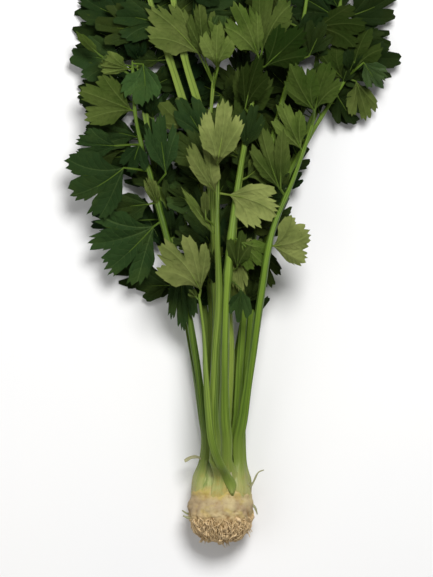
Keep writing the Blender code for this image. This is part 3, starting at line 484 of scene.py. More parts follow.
def fronds():
    """All fronds, from the lowest to the topmost, each lying on those before it."""
    return [
        # The under fronds have very dark tones: painted shade deep in the pile, between the leaves above.
        Frond("frond_under_middle", 257, 1, UPPER_SIDE, 4.9, 4.4, UNDER_MIDDLE,
              pinnate(UNDER_MIDDLE, 58, (38, 92, 148)), tone=(0.05, 0.5)),
        Frond("frond_under_left", 224, 1, UPPER_SIDE, 4.9, 4.4, UNDER_LEFT,
              pinnate(UNDER_LEFT, 58, (36, 92, 146)), tone=(0.08, 0.3)),
        Frond("frond_under_right", 290, 1, UPPER_SIDE, 4.9, 4.4, UNDER_RIGHT,
              pinnate(UNDER_RIGHT, 56, (36, 84)), tone=(0.06, 0.4)),
        Frond("frond_low_left", 190, 1, UPPER_SIDE, 4.9, 4.2, LOW_LEFT,
              pinnate(LOW_LEFT, 58, (36, 84)) + leaflets([
                  (-56, 300, -30, 346, 40), (-84, 372, -140, 384, 38),
              ]), more=leaflets([(-58, 262, -84, 314, 44)]), tone=(0.2, 0.3)),
        Frond("frond_low_right", 323, 1, UPPER_SIDE, 4.8, 4.2, LOW_RIGHT,
              pinnate(LOW_RIGHT, 54, (34, 80)) + leaflets([
                  (117, 414, 136, 384, 36), (60, 330, 32, 368, 42), (80, 356, 64, 404, 40),
              ]), tone=(0.05, 0.4), stalk_tone=(0.7, 0.2, 0)),
        Frond("frond_inner_low", 285, INNER_RING, UPPER_SIDE, 4.0, 4.0, INNER_LOW,
              pinnate(INNER_LOW, 54, (34, 84)) + leaflets([
                  (-28, 382, -62, 408, 40, UNDERSIDE),
                  (-16, 296, -50, 330, 40), (-10, 300, 16, 346, 40),
              ]), tone=(0.3, 0.5), stalk_tone=(0.85, 0.75, 0), stout=1.45, stout_from=330),
        Frond("frond_inner_left", 213, INNER_RING, UPPER_SIDE, 4.0, 4.0, INNER_LEFT,
              pinnate(INNER_LEFT, 54, (34, 84)) + leaflets([
                  (-14, 372, -42, 414, 36), (-12, 262, -36, 300, 34), (-4, 252, 22, 290, 38),
              ]), tone=(0.3, 0.35), stalk_tone=(0.8, 0.75, 0), stout=1.45, stout_from=330),
        # This stalk and that of frond_inner_right take the lightest tone, 1.0, as painted light on stalks
        # that lie low, in shade.
        Frond("frond_right", 357, 1, UNDERSIDE, 4.8, 4.2,
              [(22, 110), (29, 180), (35, 225), (46, 270), (61, 318), (84, 364), (109, 404), (128, 434)],
              leaflets([
                  (132, 436, 148, 484, 46, UNDERSIDE, (0.10, 0.4, 0)),
                  (136, 428, 147, 386, 34, UNDERSIDE, (0.45, 0.6, 0)),
                  (124, 430, 90, 462, 44, UNDERSIDE, (0.12, 0.3, 0), None, (-20, 0.66, 1.7)),
                  (143, 446, 165, 420, 30, UPPER_SIDE, (0.55, 0.1, 1)),
                  (44, 266, 26, 318, 44, UPPER_SIDE, (0.3, 0.3, 1)),
                  (98, 396, 82, 440, 40, UPPER_SIDE),
                  (62, 306, 46, 350, 42, UNDERSIDE, None, None, (25, 0.62, 1.6)),
              ]), tone=(0.10, 0.35), stalk_tone=(1.0, 0.05, 0)),
        Frond("frond_inner_right", 357, INNER_RING, UNDERSIDE, 4.0, 4.0, INNER_RIGHT,
              pinnate(INNER_RIGHT, 54, (34, 82)) + leaflets([
                  (70, 446, 50, 470, 32, UPPER_SIDE),
                  (88, 452, 100, 490, 38, UPPER_SIDE),
                  (30, 265, 52, 220, 34), (42, 352, 14, 398, 46), (36, 304, 12, 346, 40),
                  (28, 246, 10, 292, 34, UPPER_SIDE),
              ]), tone=(0.10, 0.5), stalk_tone=(1.0, 0.1, 0)),
        Frond("frond_inner_top", 141, INNER_RING, UNDERSIDE, 3.8, 3.6,
              [(-5, 110), (-5, 180), (-7, 260), (-9, 340), (-11, 400), (-7, 436)],
              leaflets([
                  (-14, 344, -52, 376, 42, UPPER_SIDE),
                  (-8, 352, 24, 384, 44), (-22, 454, -72, 506, 50), (-16, 448, -22, 510, 34),
                  (2, 460, 3, 508, 30, UNDERSIDE, (0.45, 0.3, 0), None, (0, 0.62, 1.8)),
                  (-4, 440, -4, 484, 40),
              ]), tone=(0.4, 0.5), stalk_tone=(0.60, 0.6, 0), stout=1.12),
        Frond("frond_inner_pale", 69, INNER_RING, UNDERSIDE, 3.6, 3.2,
              [(9.5, 120), (10.5, 163), (8, 206), (11, 256), (17, 306), (22, 352), (25, 386)],
              leaflets([
                  (24, 388, 35, 452, 44, UNDERSIDE, (0.10, 0.4, 0)),
                  (20, 366, -6, 412, 38, UNDERSIDE, (0.12, 0.4, 0)),
                  (12, 240, 20, 198, 16, UPPER_SIDE),
                  (14, 262, 22, 210, 20), (16, 268, 38, 244, 30),
                  (26, 330, 58, 352, 40, UPPER_SIDE),
              ]), tone=(0.7, 0.8), stalk_tone=(1.35, 0.9, 0), stout=1.1),
        Frond("frond_left", 154, 1, UNDERSIDE, 5.2, 4.1,
              [(-20, 110), (-27, 160), (-38, 218), (-50, 258), (-60, 290), (-70, 330), (-82, 376), (-92, 420),
               (-89, 448)],
              leaflets([
                  (-40, 244, -38, 172, 32, UPPER_SIDE, (0.35, 0.2, 0)),
                  (-66, 301, -75, 334, 14, UNDERSIDE, (0.5, 0.6, 0)),
                  (-74, 366, -92, 332, 32, UPPER_SIDE),
                  (-104, 362, -150, 364, 34, UPPER_SIDE),
                  (-72, 304, -110, 298, 34, UPPER_SIDE),
                  (-67, 282, -126, 240, 86, UPPER_SIDE, (0.35, 0.1, 0), BROAD_CUTS),
                  (-97, 340, -152, 304, 78, UPPER_SIDE, (0.22, 0.15, 0), None, None, 14.0),
                  (-92, 398, -145, 416, 58, UNDERSIDE, (0.32, 0.35, 0)),
                  (-55, 334, -62, 398, 38, UPPER_SIDE, (0.36, 0.0, 0)),
                  (-121, 453, -148, 478, 10),
                  (-95, 440, -130, 448, 26, UNDERSIDE, (0.6, 0.4, 0), None, (20, 0.66, 1.6)),
                  (-78, 444, -76, 400, 44, UPPER_SIDE, (0.75, 0.0, 0), SHALLOW_CUTS),
              ]), more=leaflets([
                  (-104, 288, -137, 272, 30, UNDERSIDE, (0.50, 0.5, 0)),
                  (-90, 256, -118, 218, 40, UNDERSIDE, (0.55, 0.5, 0)),
              ]), tone=(0.3, 0.2), stalk_tone=(0.12, 0.1, 0), stout=0.96),
        Frond("frond_top_right", 80, 1, UNDERSIDE, 6.1, 4.3,
              [(2.5, 120), (4, 163), (5, 208), (9, 260), (15, 310), (23, 360), (31, 405), (39, 450)],
              leaflets([
                  (19, 266, 44, 240, 34),
                  (24, 398, 38, 454, 34, UNDERSIDE, (0.0, 0.5, 0)),
                  (41, 456, 52, 524, 46, UNDERSIDE, (0.27, 0.35, 0), ((4, 0.5),)),
                  (34, 452, 14, 506, 40),
                  (44, 440, 84, 478, 46, UNDERSIDE, (0.02, 0.2, 0)),
              ]), more=leaflets([
                  (22, 318, 30, 364, 32, UPPER_SIDE, (0.10, 0.35, 0)),
                  (28, 358, 37, 404, 30, UPPER_SIDE, (0.16, 0.35, 0)),
                  (16, 240, 19, 280, 30, UNDERSIDE, (0.15, 0.30, 0)),
                  (20, 219, 18, 185, 26, UPPER_SIDE, (0.40, 0.0, 0)),
              ]), tone=(0.4, 0.3), stalk_tone=(0.90, 0.3, 0), stout=1.1),
        Frond("frond_far_right", 35, 1, UNDERSIDE, 6.1, 4.4,
              [(27.5, 120), (33, 165), (38, 203), (46, 250), (50, 273), (57, 300), (68, 320), (84, 358),
               (93, 388)],
              leaflets([
                  (83, 356, 56, 405, 36),
                  (51, 262, 90, 268, 54, UNDERSIDE, (0.80, 0.95, 0), SHALLOW_CUTS),
                  (58, 318, 38, 380, 42, UNDERSIDE, (0.30, 0.35, 0)),
                  (59, 318, 60, 382, 16, UNDERSIDE, (0.30, 0.35, 0)),
                  (94, 398, 107, 448, 40, UNDERSIDE, (0.22, 0.15, 0), SHALLOW_CUTS),
                  (92, 397, 66, 442, 38, UNDERSIDE, (0.22, 0.15, 0), SHALLOW_CUTS),
              ]), tone=(0.4, 0.35), stalk_tone=(0.62, 0.08, 0)),
        Frond("frond_top_middle", 117, 1, UNDERSIDE, 5.0, 4.3,
              [(-9, 120), (-4, 173), (-2, 228), (-4, 277), (-4, 310), (-3, 336)],
              leaflets([
                  (-7, 270, -41, 322, 9), (-15, 288, -16, 318, 9),
                  (8, 312, 62, 296, 50, UNDERSIDE, (0.98, 0.95, 0), SHALLOW_CUTS),
                  (-7, 311, -30, 368, 30, UNDERSIDE, (0.62, 0.85, 0), ((5, 0.5),)),
                  (-4, 340, 5, 410, 48, UNDERSIDE, (0.85, 0.95, 0), ((-14, 0.34), (20, 0.14))),
              ]), tone=(0.5, 0.6), stalk_tone=(0.16, 0.75, 0), stout=1.12),
        Frond("frond_small_front", 60, 1.32, UNDERSIDE, 3.4, 3.0,
              [(8, 31), (-1, 47), (-8, 65), (-13, 108), (-16, 163), (-19, 198), (-22, 214)],
              leaflets([
                  (-21, 207, -32, 219, 10),
                  (-20, 218, -47, 276, 60, UNDERSIDE, (0.62, 0.95, 0), ((-28, 0.18), (3, 0.44), (30, 0.22))),
              ]), tone=(0.5, 0.5), stalk_tone=(0.45, 0.55, 0.66), stout=1.25),
    ]


class Pile:
    """The top of what already lies there, on a square grid over the surface."""

    def __init__(self, half_across=280, low=-60, high=720):
        self.corner = np.array([-half_across, low], float)
        shape = (int(2 * half_across / CELL), int((high - low) / CELL))
        self.top = np.full(shape, LOWEST - CLEARANCE)

    def cells(self, plan):
        index = np.floor((plan - self.corner) / CELL).astype(int)
        return np.clip(index, 1, np.array(self.top.shape) - 2)

    def add(self, points, half_thickness):
        index = self.cells(points[:, :2])
        np.maximum.at(self.top, (index[:, 0], index[:, 1]), points[:, 2] + half_thickness)

    def height(self, plan):
        """The highest thing within one cell of each point."""
        index = self.cells(plan)
        around = [self.top[index[:, 0] + i, index[:, 1] + j] for i in (-1, 0, 1) for j in (-1, 0, 1)]
        return np.max(around, axis=0)

    def copy(self):
        made = Pile()
        made.top = self.top.copy()
        return made


def extended(line):
    """The line with one more point at either end."""
    return np.vstack([2 * line[0] - line[1], line, 2 * line[-1] - line[-2]])


def curve(a, b, c, d, t):
    """A point on the Catmull-Rom curve from b to c, at share t of the way."""
    return 0.5 * (2 * b + (c - a) * t + (2 * a - 5 * b + 4 * c - d) * t**2
                  + (3 * b - a - 3 * c + d) * t**3)


def smooth_path(points, step):
    """Points about step apart on a smooth curve through the given ones."""
    p = extended(np.array(points, float))
    made = []
    for corners in zip(p[:-3], p[1:-2], p[2:-1], p[3:]):
        count = max(2, int(round(np.linalg.norm(corners[2] - corners[1]) / step)))
        made += [curve(*corners, t) for t in np.arange(count) / count]
    return np.array(made + [p[-2]])


def run_of(line):
    """How far along a line each of its points is."""
    return np.concatenate([[0], np.cumsum(np.linalg.norm(np.diff(line, axis=0), axis=1))])


def headings(line):
    """The direction of a line at each of its points."""
    ahead = np.gradient(line, axis=0)
    return ahead / np.linalg.norm(ahead, axis=1)[:, None]


def spot_at(along, line, distance):
    """The point of a line at a distance along it."""
    return np.array([np.interp(distance, along, line[:, k]) for k in range(3)])


def profile_at(profile, place):
    """The value at a place of a profile, which is given as pairs of place and value."""
    return np.interp(place, *np.array(profile, float).T)


def unit(vector):
    return vector / np.linalg.norm(vector)


def ease(t):
    t = np.clip(t, 0, 1)
    return t * t * (3 - 2 * t)


def ring_place(frond, y):
    """Where a stalk stands round the crown at distance y up the axis, as x and z."""
    radius = frond.ring * profile_at(RING_PROFILE, y)
    angle = math.radians(frond.clock)
    x = radius * math.cos(angle) + RING_SHIFT * min(1.0, y / NECK_END)
    return x, BULB_AXIS_HEIGHT + radius * math.sin(angle)


class Stalk:
    """The middle line of one frond's stalk, as straight lengths between stations."""

    def __init__(self, frond, layer, pile):
        self.frond = frond
        laid_over = frond.ring > 1
        self.free_from = LAID_OVER_FREE_FROM if laid_over else FREE_FROM
        neck = LAID_OVER_STATIONS if laid_over else RING_STATIONS
        plan = smooth_path([(ring_place(frond, y)[0], y) for y in neck] + list(frond.route), PATH_STEP)
        along = run_of(plan)
        y = plan[:, 1]
        at_neck = np.array([ring_place(frond, v)[1] for v in y])
        across = np.clip(np.abs(plan[:, 0]) / HALF_SPAN, 0, 1)
        in_leaves = (LOWEST_STALK + LAYER_STEP * layer) * (1 - SIDE_FALL * across**2)
        z = at_neck + (in_leaves - at_neck) * ease((y - NECK_END) / RISE_RUN)
        self.length = along[-1]
        low = [s for s in NECK_STATIONS if s < self.length]
        count = max(3, int(round((self.length - low[-1]) / STATION_GAP)))
        self.stations = np.concatenate([low, np.linspace(low[-1], self.length, count + 1)[1:]])
        self.line = np.column_stack([np.interp(self.stations, along, c) for c in (plan[:, 0], y, z)])
        self.along = np.linspace(0, self.length, int(self.length / PATH_STEP))
        self.rise_above(pile)
        pile.add(self.footprint(), self.crowned_thickness().ravel())

    def half_width(self, along):
        """Widest at the crown, then narrowing to the end leaflet."""
        share = along / self.length
        frond = self.frond
        above = frond.width * (1 - TAPER * share) * (1 - END_TAPER * ease(2 * share - 1))
        return above + (frond.crown_width - frond.width) * ease((CROWN_END - along) / CROWN_FADE)

    def half_thickness(self, along):
        return self.half_width(along) * STALK_FLATNESS

    def at(self, along):
        return spot_at(self.stations, self.line, along)

    def beside(self, distance):
        """The plan of the middle line moved sideways, by one distance or one for each point."""
        middle = self.at(self.along).T[:, :2]
        tangent = headings(middle)
        normal = np.column_stack([tangent[:, 1], -tangent[:, 0]])
        return middle + normal * np.broadcast_to(distance, len(middle))[:, None]

    def footprint(self):
        half = self.half_width(self.along)
        rows = [self.beside(share * half) for share in np.linspace(-1, 1, ACROSS_STALK)]
        z = np.repeat(self.at(self.along)[2][:, None], ACROSS_STALK, axis=1)
        return np.dstack([np.stack(rows, axis=1), z]).reshape(-1, 3)

    def crowned_thickness(self):
        """Half thickness at each point of the footprint, least at the stalk's edges."""
        share = np.linspace(-1, 1, ACROSS_STALK)
        return np.outer(self.half_thickness(self.along), np.sqrt(1 - CROWNING * share**2))

    def rise_above(self, pile):
        """Raises the stations until each length between them lies clear of the pile, with no steep climb."""
        spots = self.footprint()
        below = pile.height(spots[:, :2]).reshape(-1, ACROSS_STALK)
        floor = (below + self.crowned_thickness()).max(axis=1) + CLEARANCE * STALK_NEARER
        around = np.max([pile.height(self.beside(d)) for d in NEIGHBOURS], axis=0)
        y = self.at(self.along)[1]
        floor = np.where(y > LEAVES_FROM, np.maximum(floor, around - SUNK_BELOW), floor)
        floor[y < self.free_from] = NO_FLOOR
        length = np.clip(np.searchsorted(self.stations, self.along, side="right"), 1, len(self.stations) - 1)
        apart = np.abs(self.stations[:, None] - self.stations[None, :])
        for _ in range(LIFT_ROUNDS):
            short = floor - self.at(self.along)[2]
            need = np.zeros(len(self.stations))
            np.maximum.at(need, length, short)
            np.maximum.at(need, length - 1, short)
            self.line[:, 2] += (need[None, :] - STALK_LIFT_SLOPE * apart).max(axis=1).clip(0)

    def out(self, along):
        """The outer, ribbed side: away from the axis at the crown, then up or down."""
        start = self.frond.clock % 360
        end = 90 if self.frond.shows > 0 else 270
        turn = (end - start + 180) % 360 - 180
        angle = math.radians(start + turn * float(ease((along - OUT_TURN[0]) / OUT_TURN[1])))
        return np.array([math.cos(angle), 0, math.sin(angle)])

    def node_for(self, foot, ahead):
        """Where along the stalk a leaflet's stem leaves it, so that the stem runs on into the blade."""
        middle = self.at(self.along).T[:, :2]
        away = np.linalg.norm(middle - foot, axis=1)
        nearest = int(np.argmin(away))
        run = middle[min(nearest + NEAR_POINTS, len(middle) - 1)] - middle[max(nearest - NEAR_POINTS, 0)]
        forward = run.dot(ahead) / np.linalg.norm(run)
        return np.clip(self.along[nearest] - STEM_SLANT * forward * away[nearest], 0, self.length - LAST_NODE)


class Blade:
    """The middle surface of one leaflet, as a height over the plan, by places ahead and right of its foot."""

    def __init__(self, leaflet, stalk, pile, rng, small=False):
        self.leaflet = leaflet
        self.shows = leaflet.shows or stalk.frond.shows
        self.foot, tip = np.array(leaflet.foot, float), np.array(leaflet.tip, float)
        self.ahead = (tip - self.foot) / np.linalg.norm(tip - self.foot)
        self.node = stalk.at(stalk.node_for(self.foot, self.ahead) - leaflet.lower)
        away = self.node[:2] - self.foot
        if np.linalg.norm(away) < SHORT_STEM:
            self.foot = self.node[:2] + self.ahead * SHORT_STEM / 2
            away = self.node[:2] - self.foot
        self.length = float(np.linalg.norm(tip - self.foot))
        self.ahead = (tip - self.foot) / self.length
        self.right = np.array([self.ahead[1], -self.ahead[0]])
        self.node_place = np.array([away.dot(self.ahead), away.dot(self.right)])
        self.pitch = rng.uniform(-PITCH, PITCH)
        self.roll = rng.uniform(-ROLL, ROLL)
        self.droop = rng.uniform(*DROOP)
        self.fold = rng.uniform(*FOLD)
        self.wave = rng.uniform(*WAVE)
        self.phase = rng.uniform(0, 2 * math.pi)
        self.jitter = [rng.uniform(-1, 1) for _ in range(JITTERS)]
        self.spots, self.need = np.zeros((0, 2)), np.zeros(0)
        if small:
            self.lie_close(pile)
        self.settle(pile)

    def edge(self):
        """The toothed outline, left to right, as degrees from the midrib and distance from the foot."""
        half = TOOTHED_EDGE if self.length >= TOOTHED_FROM else LOBED_EDGE
        if self.leaflet.width < NARROW_BELOW * self.length:
            half = NARROW_EDGE
        both = [(-a, r) for a, r in half[:0:-1]] + half
        made = []
        for k, (angle, reach) in enumerate(both):
            stretch = 1 + EDGE_REACH_JITTER * self.jitter[-1 - k]
            made.append((angle + EDGE_TURN_JITTER * self.jitter[k], reach * self.length * stretch))
        return made

    def polar(self, angle, reach):
        """Place, ahead and to the right of the foot, of a point at this angle and distance from it."""
        squeeze = self.leaflet.width / (EDGE_WIDTH * self.length)
        a = np.radians(angle)
        return reach * np.cos(a), reach * np.sin(a) * squeeze

    def raised(self, ahead, right):
        """Height of the surface before it is lifted clear of the pile."""
        on_blade = np.maximum(ahead, 0)
        share = np.hypot(on_blade, right) / self.length
        z = self.node[2] + self.pitch * (ahead - self.node_place[0]) + self.roll * right * ease(share * 3)
        z = z - self.droop * on_blade**2 / self.length
        away = np.hypot(right, MIDRIB_ROUND) - MIDRIB_ROUND
        z = z - self.shows * self.fold * away * ease(on_blade / FOLD_RUN)
        return z + self.wave * share**2 * np.sin(np.arctan2(right, on_blade + 1.0) * WAVES_ROUND + self.phase)

    def plan(self, ahead, right):
        return self.foot + np.outer(ahead, self.ahead) + np.outer(right, self.right)

    def loosening(self, ahead, right):
        """From 0 at the node, which is held by the stalk, to 1 where the leaflet is free to lie."""
        away = np.hypot(ahead - self.node_place[0], right - self.node_place[1])
        return ease((away - HELD_TO) / FREE_RUN)

    def lift(self, ahead, right):
        if not len(self.need):
            return np.zeros(len(ahead))
        far = np.hypot(ahead[:, None] - self.spots[None, :, 0], right[:, None] - self.spots[None, :, 1])
        fall = LIFT_SLOPE * (np.hypot(far, LIFT_ROUND) - LIFT_ROUND)
        return np.maximum(0, (self.need[None, :] - fall).max(axis=1))

    def surface(self, ahead, right):
        ahead, right = np.atleast_1d(ahead).astype(float), np.atleast_1d(right).astype(float)
        z = self.raised(ahead, right) + self.loosening(ahead, right) * self.lift(ahead, right)
        return np.column_stack([self.plan(ahead, right), z])

    def lie_close(self, pile):
        """Lowers the blade to what lies below it, almost flat."""
        self.pitch, self.roll, self.wave = 0.0, self.roll / 3, self.wave / 2
        below = float(np.median(pile.height(self.plan(*self.samples(*SPARSE_SAMPLES)))))
        self.node = np.array([self.node[0], self.node[1], min(self.node[2], below + LYING_OVER)])

    def samples(self, across, along):
        """Places all over the leaflet and down its stem."""
        edge = np.array(self.edge())
        angles = np.linspace(edge[0, 0], edge[-1, 0], across)
        reach = np.interp(angles, edge[:, 0], edge[:, 1])
        shares = np.linspace(0.04, 1.0, along)
        ahead, right = self.polar(np.tile(angles, along), np.outer(shares, reach).ravel())
        stem = np.linspace(0.12, 1, STEM_SAMPLES)
        ahead = np.concatenate([ahead, self.node_place[0] * stem, self.node_place[0] * stem])
        right = np.concatenate([right, self.node_place[1] * stem - 1, self.node_place[1] * stem + 1])
        return ahead, right

    def settle(self, pile):
        """Finds how far each part has to rise to lie clear of the pile, then joins the pile."""
        ahead, right = self.samples(*SAMPLES)
        below = pile.height(self.plan(ahead, right))
        need = below + CLEARANCE + BLADE_THICKNESS / 2 - self.raised(ahead, right)
        free = self.loosening(ahead, right)
        liftable = free > FREE_ENOUGH
        need = need[liftable] / free[liftable]
        keep = need > 0
        self.spots = np.column_stack([ahead[liftable], right[liftable]])[keep]
        self.need = need[keep]
        ahead, right = self.samples(*DENSE_SAMPLES)
        pile.add(self.surface(ahead, right), BLADE_THICKNESS / 2)


class Skin:
    """Points, four-sided faces and what the materials read, gathered bit by bit for one piece."""

    def __init__(self):
        self.points, self.faces, self.kinds, self.place, self.tone = [], [], [], [], []
        self.count = 0

    def add(self, points, faces, kinds, place, tone):
        """place and tone are three numbers for each point, or three for all of them."""
        points = np.asarray(points, float).reshape(-1, 3)
        faces = np.asarray(faces, int).reshape(-1, 4)
        self.points.append(points)
        self.faces.append(faces + self.count)
        self.kinds.append(np.broadcast_to(kinds, len(faces)))
        self.place.append(np.broadcast_to(np.asarray(place, float), points.shape))
        self.tone.append(np.broadcast_to(np.asarray(tone, float), points.shape))
        self.count += len(points)

    def piece(self, name, materials, node=None, sharp=50.0):
        """Makes the object, in metres and in its place; it stands for the node, if one is given."""
        shift = np.array([MIDDLE[0], MIDDLE[1], 0.0])
        points = (np.concatenate(self.points) - shift) * METRES
        points[:, 2] = np.maximum(points[:, 2], FLOOR_GAP * METRES)
        mesh = bpy.data.meshes.new(name)
        mesh.from_pydata(points, [], np.concatenate(self.faces))
        mesh.polygons.foreach_set("material_index", np.concatenate(self.kinds).astype(np.int32))
        for title, values in (("place", self.place), ("tone", self.tone)):
            attribute = mesh.attributes.new(title, "FLOAT_VECTOR", "POINT")
            attribute.data.foreach_set("vector", np.concatenate(values).ravel().astype(np.float32))
        for material in materials:
            mesh.materials.append(material)
        mesh.shade_smooth()
        mesh.set_sharp_from_angle(angle=math.radians(sharp))
        made = bpy.data.objects.new(name, mesh)
        bpy.context.scene.collection.objects.link(made)
        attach(made, "root")
        if node:
            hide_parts(node)
        return made


def grid_faces(rows, columns, start=0, flip=False):
    """Faces of a grid of points that are stored row by row."""
    k = start + np.arange(rows - 1)[:, None] * columns + np.arange(columns - 1)[None, :]
    faces = np.stack([k, k + 1, k + columns + 1, k + columns], axis=-1).reshape(-1, 4)
    return faces[:, ::-1] if flip else faces


def ring_faces(rings, sides):
    """Faces of a skin over rings of an even count of points, closed at both ends."""
    k = np.arange(rings - 1)[:, None] * sides
    s = np.arange(sides)[None, :]
    n = (s + 1) % sides
    skin = np.stack([k + s, k + n, k + sides + n, k + sides + s], axis=-1).reshape(-1, 4)
    half = np.arange(sides // 2 - 1)
    cap = np.stack([half, half + 1, sides - 2 - half, sides - 1 - half], axis=-1)
    return np.concatenate([skin, cap[:, ::-1], cap + (rings - 1) * sides])


def across_line(line):
    """Two directions across a bent line at each of its points, which hardly twist."""
    ahead = headings(line)
    side = np.cross(ahead[0], ASKEW)
    sides = []
    for direction in ahead:
        side = unit(side - direction * side.dot(direction))
        sides.append(side)
    return np.array(sides), np.cross(ahead, sides)


def add_tube(skin, line, radii, kind, tone, sides=6, flatness=1.0, start=0.0):
    """A round or flattened tube along a bent line."""
    line = np.asarray(line, float)
    side, out = across_line(line)
    turns = 2 * np.pi * (np.arange(sides) + 0.5) / sides
    radii = np.broadcast_to(radii, len(line))[:, None, None]
    rings = line[:, None, :] + radii * (np.cos(turns)[None, :, None] * side[:, None, :]
                                        + flatness * np.sin(turns)[None, :, None] * out[:, None, :])
    along = start + run_of(line)
    place = np.stack(np.broadcast_arrays(np.cos(turns)[None, :], along[:, None], 0.0), axis=-1).reshape(-1, 3)
    skin.add(rings, ring_faces(len(line), sides), kind, place, tone)


# Materials of a frond, by their places in its list
STALK, UPPER, UNDER, GLOSSY = 0, 1, 2, 3


class Outline:
    """The columns of a fine blade: their angles, how far each reaches, and where the main veins run."""

    def __init__(self, blade, rng, fine):
        leaflet = blade.leaflet
        narrow = leaflet.width < NARROW_BELOW * blade.length
        self.rng = rng
        self.cuts = () if narrow else leaflet.cuts
        if self.cuts is None:
            self.cuts = [(c + rng.uniform(-CUT_JITTER, CUT_JITTER), d * rng.uniform(*CUT_DEPTHS))
                         for c, d in rng.choice(CUT_CHOICES)]
        self.bend = rng.uniform(-BEND, BEND)
        self.borders = [-HALF_ANGLE] + [c for c, _ in self.cuts] + [HALF_ANGLE]
        ends = [-TEETH_TO] + self.borders[1:-1] + [TEETH_TO]
        self.veins = [(a + b) / 2 for a, b in zip(ends[:-1], ends[1:])]
        angles, reach = self.teeth(0.4 * (blade.length + leaflet.width), fine)
        for extra in self.veins:
            k = int(np.searchsorted(angles, extra))
            reach = np.insert(reach, k, np.interp(extra, angles, reach))
            angles = np.insert(angles, k, extra)
        self.angles = angles
        body = profile_at(NARROW_BODY if narrow else BODY, np.abs(angles))
        self.reach = self.lobed(angles, reach * body)

    def teeth(self, radius, fine):
        """Angles of the columns and their reach, tooth by tooth. Each is pointed and leans to the tip."""
        step = math.degrees(TOOTH_LENGTH / radius) * (1.0 if fine else COARSE_TEETH)
        notches = [-TEETH_TO]
        while notches[-1] < TEETH_TO - 1.3 * step:
            notches.append(notches[-1] + step * self.rng.uniform(*TOOTH_LENGTHS))
        notches.append(TEETH_TO)
        for border, _ in self.cuts:
            nearest = min(range(1, len(notches) - 1), key=lambda k: abs(notches[k] - border))
            notches[nearest] = border
        notches = sorted(notches)
        between = 0.5 * (HALF_ANGLE + TEETH_TO)
        angles, reach = [-HALF_ANGLE, -between], [1.0, 1.0]
        for low, high in zip(notches[:-1], notches[1:]):
            deep = self.rng.uniform(*TOOTH_DEPTH)
            top = self.rng.uniform(*TOOTH_TOPS)
            peak = 0.5 - TOOTH_LEAN * np.clip((low + high) / LEANS_BY, -1, 1)
            for side in TOOTH_SHARES if fine else TOOTH_SHARES[::2]:
                share = peak + side * (peak if side < 0 else 1 - peak)
                angles.append(low + (high - low) * share)
                reach.append(top * (1 - deep * abs(side) ** TOOTH_ROUND))
        angles += [TEETH_TO, between, HALF_ANGLE]
        reach += [1 - TOOTH_DEPTH[0], 1.0, 1.0]
        return np.array(angles), np.array(reach) * self.points(notches, np.array(angles))

    def points(self, notches, angles):
        """Groups of two to four teeth stand out as small points of the blade."""
        ends = [0]
        while ends[-1] < len(notches) - 1:
            ends.append(ends[-1] + self.rng.randint(*POINT_TEETH))
        ends = [notches[min(k, len(notches) - 1)] for k in ends]
        factor = np.ones(len(angles))
        for low, high in zip(ends[:-1], ends[1:]):
            deep = self.rng.uniform(*POINT_DEPTH)
            middle = 0.5 * (low + high) - POINT_LEAN * (high - low) * np.clip((low + high) / LEANS_BY, -1, 1)
            before, behind = (middle - angles) / (middle - low), (angles - middle) / (high - middle)
            away = np.where(angles < middle, before, behind)
            within = (angles >= low) & (angles <= high)
            factor = np.where(within, 1 - deep * np.clip(away, 0, 1) ** POINT_ROUND, factor)
        return factor

    def across_lobe(self, angle):
        """Which lobe each angle is in, and where from -1 to 1 across it."""
        borders = np.array(self.borders)
        lobe = np.clip(np.searchsorted(borders, angle, side="right") - 1, 0, len(borders) - 2)
        low, high = borders[lobe], borders[lobe + 1]
        return lobe, (angle - (low + high) / 2) / ((high - low) / 2)

    def lobed(self, angles, reach):
        """Points each lobe a little and cuts the blade between them."""
        if len(self.cuts):
            lobe, across = self.across_lobe(angles)
            stretch = np.array([self.rng.uniform(*LOBE_SIZES) for _ in self.borders])
            reach = reach * stretch[lobe] * (1 - LOBE_POINT * np.abs(across) ** LOBE_ROUND)
        for border, depth in self.cuts:
            width = CUT_WIDTH * (0.7 + depth)
            near = np.clip(1 - np.abs(angles - border) / width, 0, 1)
            reach = reach * (1 - depth * near ** CUT_ROUND)
        return reach

    def turned(self, angle, share):
        """Angles of a column at shares of its reach: columns start closer together and bend to one side."""
        return angle * (FOOT_SPREAD + (1 - FOOT_SPREAD) * share) + self.bend * (share**1.5 - 0.5)

    def vein_place(self, angle, share):
        """Distances along the nearest main vein and away from it, as shares of the length."""
        away = np.radians(angle[..., None] - np.array(self.veins))
        nearest = np.take_along_axis(away, np.abs(away).argmin(axis=-1)[..., None], axis=-1)[..., 0]
        return share * np.cos(nearest), share * np.abs(np.sin(nearest))


def rolled(local, height, curl, length):
    """Rolls the part of a blade past a line over onto itself. A curl is a direction, a start and a radius."""
    direction, start, radius = curl
    way = np.array([math.cos(math.radians(direction)), math.sin(math.radians(direction))])
    past = local @ way - start * length
    turn = np.clip(past / radius, 0, math.pi)
    flat = np.clip(past - math.pi * radius, 0, None)
    ahead = radius * np.sin(turn) - flat
    moved = local + np.where(past > 0, ahead - past, 0)[..., None] * way
    return moved, height + np.where(past > 0, radius * (1 - np.cos(turn)), 0)


